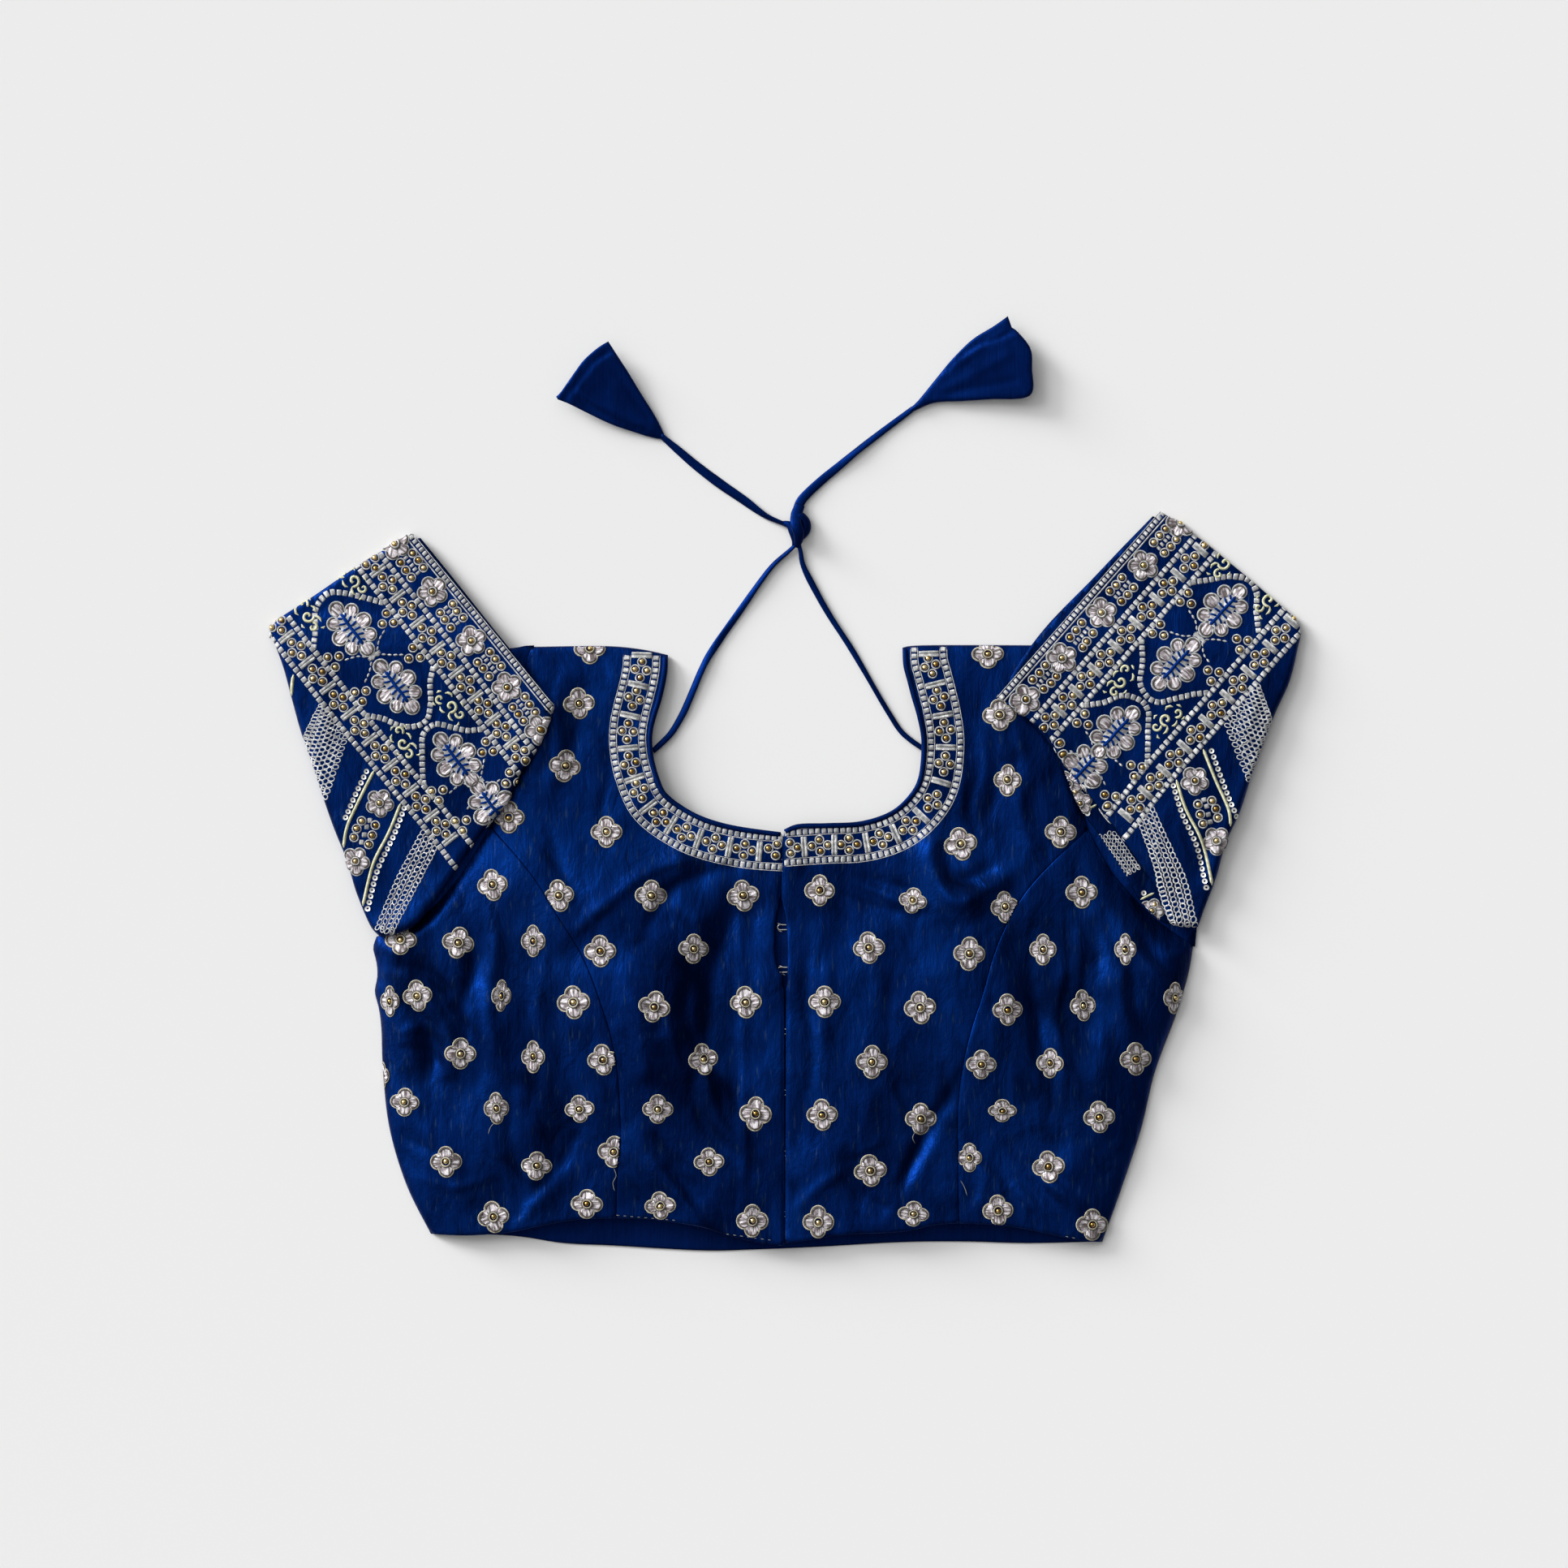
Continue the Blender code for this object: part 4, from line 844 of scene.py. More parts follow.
# ------------------------------------------------------------------ back
def back_panel():
    loop = outline(4.0, BACK_HEM, SIDE_RIGHT, ARMHOLE_RIGHT_LOW, ARMHOLE_RIGHT_UP, SHOULDER_RIGHT, BACK_NECK[::-1],
                   SHOULDER_LEFT, ARMHOLE_LEFT_UP, ARMHOLE_LEFT_LOW, SIDE_LEFT)
    loop = inset(loop, 0.25)
    pts, faces = tess(loop, (0.9, 2.4), 5.0)
    hem = curve(BACK_HEM, 4.0)
    d = nearest(pts, hem)[0]
    z = 1.15 + 0.28 * np.clip(sample(soft_noise(18, 18, 31), pts), -1, 2.5) * (1 - np.exp(-d / 3.0))
    z = np.maximum(z, 1.0) - 0.28 * np.exp(-(d / 0.8) ** 2) - 0.18 * np.exp(-((d - 8.5) / 0.8) ** 2)
    return cloth("back_cloth", PLAIN, np.column_stack([pts, z]), faces, ("back_panel",))


# ------------------------------------------------------------------ fronts
def front_panel(name, tables, node_name):
    loop = outline(2.6, *tables)
    level = CENTRE_Y - loop[:, 1] / GRID
    meets = (np.abs(loop[:, 0] + 0.2) < 3.0) & ((level > 1215) | (level < 1108)) & (level > 1030)
    loop = loop + loop_normals(loop) * np.where(meets, -0.42, 0.02)[:, None]
    pts, faces = tess(loop, (0.5, 1.3, 2.6), FRONT_LATTICE)
    verts = np.column_stack([pts, front_z(pts)])
    # the tone attribute carries the front's painted shade and painted sheen
    cloth(name, SATIN, verts, faces, (node_name,), tone=front_painted_shade(pts))
    return loop


# ------------------------------------------------------------------ swept strips
def sweep(points, across, up, sides, closed_ends=True):
    """A strand along points, with half sizes across and up; each may vary. across is (n, 3) vectors, up likewise."""
    n = len(points)
    a = np.linspace(0, 2 * np.pi, sides, endpoint=False)
    ring = points[:, None, :] + across[:, None, :] * np.cos(a)[None, :, None] + up[:, None, :] * np.sin(a)[None, :, None]
    verts = ring.reshape(-1, 3)
    i, j = np.meshgrid(np.arange(n - 1), np.arange(sides), indexing="ij")
    i, j = i.ravel(), j.ravel()
    k = (j + 1) % sides
    quads = np.stack([i * sides + j, i * sides + k, (i + 1) * sides + k, (i + 1) * sides + j], 1)
    run = np.r_[0, np.cumsum(np.linalg.norm(np.diff(points, axis=0), axis=1))]
    uv = np.stack([np.repeat(run, sides), np.tile(a, n)], 1)
    caps = []
    if closed_ends:
        verts = np.vstack([verts, points[:1], points[-1:]])
        uv = np.vstack([uv, uv[:1], uv[-1:]])
        s, e = n * sides, n * sides + 1
        for j in range(sides):
            k = (j + 1) % sides
            caps.append((s, k, j))
            caps.append((e, (n - 1) * sides + j, (n - 1) * sides + k))
    return verts, quads, np.array(caps, int).reshape(-1, 3), uv


def ribbon(points, wide, thick, twist, sides=12):
    """A soft flat strand; wide and thick are full sizes and twist is the turn about its run, per point."""
    t = np.gradient(points, axis=0)
    t /= np.linalg.norm(t, axis=1)[:, None]
    side = np.cross(t, [0, 0, 1.0])
    side /= np.maximum(np.linalg.norm(side, axis=1), 1e-6)[:, None]
    over = np.cross(side, t)
    c, s = np.cos(twist)[:, None], np.sin(twist)[:, None]
    across = (side * c + over * s) * (np.asarray(wide) / 2)[:, None]
    up = (-side * s + over * c) * (np.asarray(thick) / 2)[:, None]
    return sweep(points, across, up, sides)


def tie(name, table, widths, turns, replaces, thick=1.9, lift=()):
    """A rolled fabric tie lying on the floor. widths and turns are (place along it 0-1, value) tables."""
    line = resample(fine_curve(table_mm(table)), 1.6)
    run = np.linspace(0, 1, len(line))
    wide = np.interp(run, [w[0] for w in widths], [w[1] for w in widths])
    twist = np.interp(run, [t[0] for t in turns], [t[1] for t in turns])
    deep = np.minimum(thick, wide * 0.9)
    tall = np.sqrt((wide / 2 * np.sin(twist)) ** 2 + (deep / 2 * np.cos(twist)) ** 2)
    z = tall + 0.15
    if lift:
        z = z + np.interp(run, [q[0] for q in lift], [q[1] for q in lift])
    path = np.column_stack([line, z])
    v, q, c, uv = ribbon(path, wide, deep, twist)
    ob = part(name, "silk_plain", TIE, v, [q, c], replaces, uv)
    return ob, path


TIE = silk("tie_silk", (0.0003, 0.0070, 0.058), (0.0004, 0.0105, 0.082), (0.0006, 0.015, 0.115), 0.5, 0.85, 0.6, 0.04, 0.25)


# ------------------------------------------------------------------ embroidery
class Stitches:
    """Motif meshes gathered by thread, laid on one surface."""

    def __init__(self, name, surface, keep=None):
        self.name, self.surface, self.keep = name, surface, keep
        self.parts = {}

    def add(self, kind, verts, quads, tris=(), uv=None, at=(0, 0), turn=0.0, scale=1.0, flat=(1.0, 1.0)):
        """verts (n, 3): x, y on the cloth in mm and height over it, turned and moved to the place."""
        c, s = math.cos(turn), math.sin(turn)
        x, y = verts[:, 0] * scale * flat[0], verts[:, 1] * scale * flat[1]
        v = np.column_stack([at[0] + x * c - y * s, at[1] + x * s + y * c, verts[:, 2]])
        self.parts.setdefault(kind, []).append((v, np.asarray(quads, int).reshape(-1, 4),
                                                np.asarray(tris, int).reshape(-1, 3),
                                                np.zeros((len(v), 2)) if uv is None else uv))

    def build(self):
        made = []
        for kind, chunk in self.parts.items():
            base = 0
            V, Q, T, U = [], [], [], []
            for v, q, t, u in chunk:
                V.append(v)
                Q.append(q + base)
                T.append(t + base)
                U.append(u)
                base += len(v)
            V, Q, T, U = np.vstack(V), np.vstack(Q), np.vstack(T), np.vstack(U)
            p, n = self.surface(V[:, :2])
            if self.keep is not None:
                ok = self.keep(V[:, :2])
                Q, T = Q[ok[Q].all(1)], T[ok[T].all(1)]
            verts = p + n * V[:, 2:3]
            verts[:, 2] = np.maximum(verts[:, 2], 0.25)
            used = np.unique(np.concatenate([Q.ravel(), T.ravel()]))
            if not len(used):
                continue
            back = np.zeros(len(verts), int)
            back[used] = np.arange(len(used))
            mat, slot = THREADS[kind]
            made.append(part("%s_%s" % (self.name, kind), slot, mat, verts[used], [back[Q], back[T]], (), U[used],
                             kind != "gold"))
        return made


THREADS = {"pink": (PINK, "pink_thread"), "silver": (SILVER, "silver_thread"), "cream": (CREAM, "cream_thread"),
           "gold": (GOLD, "gold_bead"), "sequin": (SEQUIN, "sequin"), "blue": (VEIN, "silk_satin"),
           "scroll": (SCROLL, "cream_thread"), "brown": (PAINTED_SHADE_THREAD, "pink_thread"), "tail": (TAIL, "silver_thread"),
           "chain": (CHAIN, "silver_thread")}


def grid_faces(n, m):
    """Quads of an n by m grid of points."""
    i, j = np.meshgrid(np.arange(n - 1), np.arange(m - 1), indexing="ij")
    a = (i * m + j).ravel()
    return np.stack([a, a + m, a + m + 1, a + 1], 1)


def pad(wide, long, high, cols=(-1, -0.93, -0.4, 0.4, 0.93, 1), rows=(-1, -0.93, -0.4, 0.4, 0.93, 1)):
    """A satin-stitched block with a nearly flat top, its stitches running along x."""
    u, v = np.array(cols, float), np.array(rows, float)
    U, V = np.meshgrid(u, v, indexing="ij")
    h = (1 - np.abs(U) ** 12) * (1 - np.abs(V) ** 12) * (1 - 0.06 * U ** 2 - 0.06 * V ** 2)
    z = high * np.clip(h, 0, 1) ** 0.6 - 0.08
    verts = np.column_stack([(U * wide / 2 * (1 - 0.06 * np.abs(V) ** 6)).ravel(),
                             (V * long / 2 * (1 - 0.06 * np.abs(U) ** 6)).ravel(), z.ravel()])
    return verts, grid_faces(len(u), len(v)), np.column_stack([verts[:, 0], verts[:, 1]])


def cord_on(points, radius, sides=4, closed=False, lift=0.0, flatten=0.85):
    """A thread cord laid along points (x, y) on the cloth."""
    p = np.asarray(points, float)
    if closed:
        t = np.roll(p, -1, 0) - np.roll(p, 1, 0)
        p, t = np.vstack([p, p[:1]]), np.vstack([t, t[:1]])
    else:
        t = np.gradient(p, axis=0)
    n = np.stack([-t[:, 1], t[:, 0]], 1)
    n /= np.maximum(np.linalg.norm(n, axis=1), 1e-9)[:, None]
    a = np.linspace(-0.15, math.pi + 0.15, sides + 1)
    xy = p[:, None, :] + n[:, None, :] * (radius * np.cos(a))[None, :, None]
    z = np.broadcast_to(lift + radius * flatten * np.sin(a)[None, :], xy.shape[:2])
    if not closed:
        end = np.ones(len(p))
        end[[0, -1]] = 0.25
        xy = p[:, None, :] + (xy - p[:, None, :]) * end[:, None, None]
        z = z * end[:, None]
    run = np.r_[0, np.cumsum(np.linalg.norm(np.diff(p, axis=0), axis=1))]
    verts = np.column_stack([xy.reshape(-1, 2), z.ravel()])
    uv = np.column_stack([np.tile(a, len(p)) * radius, np.repeat(run, sides + 1)])
    return verts, grid_faces(len(p), sides + 1)[:, ::-1], uv


def lobed_radius(theta, lobes):
    """Outer radius of a union of round lobes, each (angle, distance, radius)."""
    best = np.zeros_like(theta)
    for angle, dist, rad in lobes:
        s = dist * np.sin(theta - angle)
        ok = np.abs(s) < rad
        r = dist * np.cos(theta - angle) + np.sqrt(np.maximum(rad ** 2 - s ** 2, 0))
        best = np.where(ok & (r > best), r, best)
    return best


def bloom(lobes, high, steps=72, rings=7, core=0.0, notch=0.55):
    """A satin-stitched flower with round lobes: a puffed surface whose stitches run out from the middle."""
    th = np.linspace(0, 2 * np.pi, steps + 1)
    R = lobed_radius(th, lobes)
    f = np.linspace(core, 1, rings)
    X = (R[None, :] * f[:, None]) * np.cos(th)[None, :]
    Y = (R[None, :] * f[:, None]) * np.sin(th)[None, :]
    h = np.zeros_like(X)
    for angle, dist, rad in lobes:
        d = np.hypot(X - dist * math.cos(angle), Y - dist * math.sin(angle)) / (rad * 1.04)
        h = np.maximum(h, np.sqrt(np.clip(1 - d ** 2, 0, 1)))
    mid = np.hypot(X, Y) / R.mean()
    h = np.maximum(h, notch * np.clip(1 - mid * 1.1, 0, 1))
    Z = high * h * (0.55 + 0.45 * f[:, None]) - 0.06
    Z[-1] = -0.05
    verts = np.column_stack([X.ravel(), Y.ravel(), Z.ravel()])
    uv = np.column_stack([(R[None, :] * f[:, None]).ravel(), np.broadcast_to(th * R.mean() * 0.62, X.shape).ravel()])
    return verts, grid_faces(rings, steps + 1), uv, np.stack([R * np.cos(th), R * np.sin(th)], 1)[:-1]


def bead(radius, high=0.8, sides=8):
    """A faceted dome with a flat table."""
    rows = ((1.0, 0.0), (1.0, 0.34), (0.82, 0.72), (0.36, 1.0))
    V, Q = [], []
    for k, (r, h) in enumerate(rows):
        a = np.arange(sides) / sides * 2 * np.pi + (k % 2) * np.pi / sides
        V.append(np.column_stack([radius * r * np.cos(a), radius * r * np.sin(a), np.full(sides, radius * high * h)]))
    for k in range(len(rows) - 1):
        for j in range(sides):
            n = (j + 1) % sides
            Q.append((k * sides + j, k * sides + n, (k + 1) * sides + n, (k + 1) * sides + j))
    V = np.vstack(V)
    top = len(rows) - 1
    tris = [(top * sides, top * sides + j, top * sides + j + 1) for j in range(1, sides - 1)]
    return V, np.array(Q), np.array(tris)


def disc(radius, hole, sides=12):
    """A cupped sequin with its hole."""
    a = np.arange(sides) / sides * 2 * np.pi
    V = np.vstack([np.column_stack([r * np.cos(a), r * np.sin(a), np.full(sides, h)])
                   for r, h in ((radius, 0.62), (radius * 0.7, 0.42), (hole, 0.4))])
    Q = [(k * sides + j, k * sides + (j + 1) % sides, (k + 1) * sides + (j + 1) % sides, (k + 1) * sides + j)
         for k in (0, 1) for j in range(sides)]
    return V, np.array(Q)


def circle(radius, n=18):
    a = np.arange(n) / n * 2 * np.pi
    return np.stack([radius * np.cos(a), radius * np.sin(a)], 1)


SQUARE = pad(2.95, 3.15, 0.42)
SMALL_SQUARE = pad(2.25, 2.7, 0.38)
BEAD = bead(1.58, 0.82, 7)
RING = cord_on(circle(2.42, 16), 0.42, 4, True, 0.14)
LINK = cord_on(circle(1.0, 12) * [1.12, 1.5], 0.31, 4, True)


def put_bead(st, xy, size=1.0, ring=True, kind="silver", spin=0.0):
    v, q, t = BEAD
    tip = RNG.normal(0, 0.10, 2)
    v = v * [size, size, size] + np.column_stack([np.zeros((len(v), 2)), v[:, 0] * tip[0] + v[:, 1] * tip[1]])
    st.add("gold", v, q, t, at=(xy[0] + RNG.normal(0, 0.12), xy[1] + RNG.normal(0, 0.12)), turn=spin)
    if ring:
        v, q, uv = RING
        st.add(kind, v * [size, size, 1.0], q, uv=uv, at=xy)


def put_square(st, xy, turn, size=(1.0, 1.0), model=SQUARE):
    v, q, uv = model
    jig = RNG.normal(0, 0.05, 2)
    st.add("silver", v * [size[0], size[1], 1.0], q, uv=uv, at=(xy[0] + jig[0], xy[1] + jig[1]),
           turn=turn + RNG.normal(0, 0.05))


def petal(st, at, turn, scale, flat, where, way, rad, rim_kind, rim=0.5, spread=1.95, hollow=0.0, high=1.1):
    """One round petal: raised satin stitches along its run, a dark thread arc inside the rim as painted shade, and a
    couched rim.
    """
    c, s_ = math.cos(way), math.sin(way)

    def laid(p):
        q = p.copy()
        q[:, 0] = where[0] + p[:, 0] * c - p[:, 1] * s_
        q[:, 1] = where[1] + p[:, 0] * s_ + p[:, 1] * c
        return q

    v, q, _, _ = bloom([(0.0, 0.0, rad)], high, 24, 6, 0.0, 1.0)
    uv = np.column_stack([v[:, 0], v[:, 1] * (1.25 - 0.05 * v[:, 0])]) + RNG.uniform(0, 60)
    v = laid(v)
    if hollow:
        v[:, 2] = np.where(np.hypot(v[:, 0], v[:, 1]) < hollow, -0.5, v[:, 2])
    st.add("pink", v, q, uv=uv, at=at, turn=turn, scale=scale, flat=flat)
    a0 = RNG.normal(0, 0.22)
    # the first cord is painted shade, a dark thread arc just inside the rim; the second is the couched rim
    for kind, share, size, lift, reach in (("brown", 0.79, 0.44, 0.58 * high, spread * 0.78), (rim_kind, 1.0, rim, 0.2, spread)):
        a = np.linspace(-reach, reach, 13) + (a0 if kind == "brown" else 0.0)
        line = laid(np.column_stack([rad * share * np.cos(a), rad * share * np.sin(a)]))
        v, q, uv = cord_on(line, size, 4, False, lift)
        st.add(kind, v, q, uv=uv, at=at, turn=turn, scale=scale, flat=flat)


def flower(st, xy, turn, scale, flat, count, start, dist, rad, rim_kind, ring, cord):
    """A round-petalled flower with a couched ring and a bead in its middle."""
    for k in range(count):
        way = start + k * 2 * math.pi / count
        r = rad * (1 + RNG.normal(0, 0.03))
        petal(st, xy, turn, scale, flat, (dist * math.cos(way), dist * math.sin(way)), way, r, rim_kind, cord, 1.9, ring + 0.1)
        # a dark thread line of painted shade in the groove between two petals
        half = way + math.pi / count
        line = np.array([[q * math.cos(half), q * math.sin(half)] for q in (ring + 0.3, ring + 1.6, ring + 3.0)])
        v, q, uv = cord_on(line, 0.36, 3, False, 0.66)
        st.add("brown", v, q, uv=uv, at=xy, turn=turn, scale=scale, flat=flat)
    # a dark thread ring of painted shade just outside the couched ring, then the ring
    for kind, reach, size, lift in (("brown", ring + 0.56, 0.36, 0.92), (rim_kind, ring, 0.46, 1.0)):
        v, q, uv = cord_on(circle(reach, 20), size, 4, True, lift)
        st.add(kind, v, q, uv=uv, at=xy, turn=turn, scale=scale, flat=flat)
    v, q, t = BEAD
    st.add("gold", v * [1.1, 1.1, 1.5], q, t, at=(xy[0] + RNG.normal(0, 0.15), xy[1] + RNG.normal(0, 0.15)),
           turn=RNG.uniform(0, 1), scale=scale, flat=flat)


def put_butti(st, xy, turn=0.0, scale=1.0, flat=(1.0, 1.0)):
    """The scattered four-lobed flower."""
    flower(st, xy, turn, scale, flat, 4, 0.0, 4.75, 4.65, "cream", 2.62, 0.44)


def put_five(st, xy, turn=0.0, scale=1.0, flat=(1.0, 1.0)):
    flower(st, xy, turn, scale, flat, 5, math.pi / 2, 5.0, 3.85, "silver", 2.3, 0.40)


def put_leaf_bloom(st, xy, turn=0.0, scale=1.0):
    """The long flower between ogees: eight round petals, each couched round, about a leaf-veined middle."""
    petals = ((14.6, 0.0, 4.2), (8.8, 6.4, 3.8), (0.0, 8.4, 4.4), (-8.8, 6.4, 3.8),
              (-14.7, 0.0, 4.2), (-8.8, -6.4, 3.8), (0.0, -8.4, 4.4), (8.8, -6.4, 3.8))
    # the middle is one low satin field and the petals stand on it
    lobes = [(0.0, 0.0, 6.4), (0.0, 6.2, 5.2), (math.pi, 6.2, 5.2)]
    v, q, uv, rim = bloom(lobes, 0.6, 60, 5, 0.0, 1.0)
    st.add("silver", v, q, uv=uv, at=xy, turn=turn, scale=scale)
    for x, y, rad in petals:
        petal(st, xy, turn, scale, (1.0, 1.0), (x, y), math.atan2(y, x * 0.55), rad, "silver", 0.5, 2.6, 0.0, 1.0)
    veins = [(((-11.2, 0.3), (-5.0, 0.15), (0.0, -0.1), (5.0, 0.15), (11.2, -0.3)), 0.95)]
    for x, reach, lean in ((-7.6, 3.2, -2.6), (-4.6, 4.6, -2.0), (-1.6, 5.2, -0.6), (1.4, 5.2, 0.6), (4.4, 4.6, 2.0), (7.4, 3.2, 2.6)):
        for k in (1, -1):
            veins.append((((x, 0.2 * k), (x + lean * 0.35, reach * 0.5 * k), (x + lean, reach * k)), 0.66))
    for vein, size in veins:
        v, q, uv = cord_on(resample(fine_curve(np.array(vein), 4), 1.3), size, 3, False, 0.5, 0.55)
        st.add("blue", v, q, uv=uv, at=xy, turn=turn, scale=scale)


def put_cord(st, kind, line, radius, lift=0.0, sides=4):
    v, q, uv = cord_on(line, radius, sides, False, lift)
    st.add(kind, v, q, uv=uv)


def put_dashes(st, kind, line, on, off, radius):
    run = np.r_[0, np.cumsum(np.linalg.norm(np.diff(line, axis=0), axis=1))]
    s = 0.0
    while s + on < run[-1]:
        at = np.linspace(s, s + on, 4)
        seg = np.stack([np.interp(at, run, line[:, k]) for k in (0, 1)], 1)
        put_cord(st, kind, seg, radius)
        s += on + off


def put_meeting(st, fr, s, t, top, bottom):
    """Two curved dashed bands that bend towards one another and touch between the long flowers."""
    for side in (-1, 1):
        (ts, tt), (bs, bt) = top[side], bottom[side]
        line = fr.line(((ts - side * 8, tt + 9), (s + side * 12, t - 17), (s + side * 3.4, t - 7), (s + side * 1.6, t),
                        (s + side * 3.4, t + 7), (s + side * 12, t + 17), (bs - side * 8, bt - 9)), 0.7)
        put_dashes(st, "silver", line, 2.5, 0.85, 0.62)
    for k in (-1, 0, 1):
        put_cord(st, "silver", fr.line(((s + k * 1.6, t - 9), (s + k * 0.8, t), (s + k * 1.6, t + 9)), 1.5), 0.5, 0.15)


def spiral(cx, cy, r0, r1, a0, a1, n=16):
    a = np.linspace(a0, a1, n)
    r = np.linspace(r0, r1, n)
    return np.stack([cx + r * np.cos(a), cy + r * np.sin(a)], 1)


def put_scroll(st, xy, turn, flip=1):
    """The cream filling between ogees: three curls turned from one another, with round ends and short commas."""
    curls = (
        (spiral(0.9, -0.6, 3.6, 1.1, 0.9, 0.9 - 5.9, 22), 0.86),
        (np.array([[3.0, 2.2], [4.2, 3.6], [6.2, 4.2], [8.0, 3.6]]), 0.8),
        (spiral(-6.3, 1.9, 2.8, 0.9, 0.2, 0.2 + 5.0, 16), 0.8),
        (spiral(7.6, -2.0, 2.8, 0.9, 2.6, 2.6 - 5.2, 16), 0.8),
        (np.array([[-2.9, -4.4], [-4.6, -5.0], [-6.4, -3.9], [-7.2, -2.4]]), 0.8),
        (np.array([[-9.4, -1.6], [-10.2, -0.2], [-10.3, 1.2]]), 0.8),
        (np.array([[-3.0, 4.4], [-1.4, 5.3], [0.4, 5.2], [1.6, 4.3]]), 0.75),
        (np.array([[2.2, -6.1], [3.6, -6.6], [5.2, -6.0]]), 0.75),
        (np.array([[-7.6, 6.1], [-6.2, 6.5], [-5.0, 6.0]]), 0.75),
        (np.array([[10.6, 1.4], [11.6, 2.4], [11.4, 3.8]]), 0.8),
    )
    for line, size in curls:
        v, q, uv = cord_on(np.column_stack([line[:, 0], line[:, 1] * flip]), size, 4)
        st.add("scroll", v, q, uv=uv, at=xy, turn=turn)
        if len(line) > 10:
            v, q, uv = cord_on(line[-1] * [1, flip] + np.array([[-0.5, 0.0], [0.0, 0.0], [0.5, 0.0]]), 1.15, 5)
            st.add("scroll", v, q, uv=uv, at=xy, turn=turn)


def put_chain_area(st, left, right, pitch=3.6, size=1.16):
    """A band of chain stitches: columns of overlapping links between two edge lines that run the same way."""
    left, right = resample(fine_curve(left, 6), 1.0), resample(fine_curve(right, 6), 1.0)
    long_ = 0.5 * (np.linalg.norm(np.diff(left, axis=0), axis=1).sum() + np.linalg.norm(np.diff(right, axis=0), axis=1).sum())
    wide = np.mean([np.linalg.norm(left[0] - right[0]), np.linalg.norm(left[-1] - right[-1]),
                    np.linalg.norm(left[len(left) // 2] - right[len(right) // 2])])
    count = max(2, int(round(wide / pitch)))
    rows = max(2, int(round(long_ / (pitch * 0.84))))
    for c in range(count):
        for r in range(rows + 1):
            f = np.clip((r + 0.5 * (c % 2)) / rows, 0, 1)
            a = np.array([np.interp(f * (len(left) - 1), np.arange(len(left)), left[:, k]) for k in (0, 1)])
            b = np.array([np.interp(f * (len(right) - 1), np.arange(len(right)), right[:, k]) for k in (0, 1)])
            g = (c + 0.5) / count
            p = a + (b - a) * g + RNG.normal(0, 0.1, 2)
            share = np.linalg.norm(b - a) / count / pitch
            if share < 0.3:
                continue
            v, q, uv = LINK
            lean = (0.3 if c % 2 else -0.3) + RNG.normal(0, 0.1)
            st.add("chain", v * [size * share, size, 1.3], q, uv=uv, at=p, turn=math.atan2(*(b - a)[::-1]) + lean)


# ------------------------------------------------------------------ sleeve embroidery
class SleeveFrame:
    """Cloth coordinates of a sleeve: s along the cuff and t away from it, in drafting units, by two axes."""

    def __init__(self, origin, s_axis, t_axis):
        self.o, self.s, self.t = np.array(origin, float), np.array(s_axis, float), np.array(t_axis, float)

    def mm(self, s, t):
        g = self.o + self.s * s + self.t * t
        return place(g[0], g[1])

    def line(self, pts, step=2.0):
        return resample(fine_curve(np.array([self.mm(*p) for p in pts])), step)

    def turn(self):
        """Direction of s on the page, y up."""
        return math.atan2(-self.s[1], self.s[0])


def row_line(frame_, rows, s0, s1, t_add=0.0, step=6.0):
    """A row across the sleeve: t at s by a (s, t) table."""
    s = np.arange(s0, s1 + 0.1, step)
    t = np.interp(s, [r[0] for r in rows], [r[1] for r in rows]) + t_add
    for k in np.flatnonzero(s < rows[0][0]):
        t[k] = rows[0][1] + t_add
    return np.array([frame_.mm(a, b) for a, b in zip(s, t)])


def put_square_row(st, line, pitch, model=SQUARE, size=(1.0, 1.0)):
    line = resample(line, pitch)
    t = np.gradient(line, axis=0)
    for p, d in zip(line, t):
        put_square(st, p, math.atan2(d[1], d[0]), size, model)


def put_bar(st, xy, turn, long=11.6, wide=3.5):
    """A braided bar across a border: two rows of slanting stitches."""
    for side in (-1, 1):
        v, q, uv = pad(wide * 0.54, long, 0.72, (-1, -0.8, 0, 0.8, 1), (-1, -0.93, -0.5, 0, 0.5, 0.93, 1))
        lean = uv.copy()
        lean[:, 1] = uv[:, 1] + side * uv[:, 0] * 0.9
        st.add("silver", v + [side * wide * 0.24, 0, 0], q, uv=lean, at=xy, turn=turn)


def put_diamond(st, xy, turn, along, across, size=1.0):
    c, s = math.cos(turn), math.sin(turn)
    for dx, dy in ((-along, 0), (along, 0), (0, -across), (0, across)):
        put_bead(st, (xy[0] + dx * c - dy * s, xy[1] + dx * s + dy * c), size, spin=RNG.uniform(0, 1))


def ladder(st, fr, upper, lower, bars, beads, mid, s0, s1):
    """A border of two square rows, braided bars between them and bead diamonds between the bars."""
    turn = fr.turn()
    for rows in (upper, lower):
        put_square_row(st, row_line(fr, rows, s0, s1), 3.62)
    for s in bars:
        put_bar(st, fr.mm(s, np.interp(s, [r[0] for r in mid], [r[1] for r in mid])), turn, 10.4)
    for s in beads:
        put_diamond(st, fr.mm(s, np.interp(s, [r[0] for r in mid], [r[1] for r in mid])), turn, 4.7, 3.3)


def three_beads(st, fr, s, t, point_down):
    """Two beads beside one another and one towards the flowers."""
    k = 1 if point_down else -1
    for ds, dt in ((-7.5, -5.5 * k), (7.5, -5.5 * k), (0, 6.5 * k)):
        put_bead(st, fr.mm(s + ds, t + dt), 1.0)


def sequin_line(st, fr, pts, pitch=3.55):
    v, q = disc(1.55, 0.6)
    for p in resample(fine_curve(np.array([fr.mm(*q2) for q2 in pts])), pitch):
        st.add("sequin", v, q, at=p, turn=RNG.uniform(0, 3))


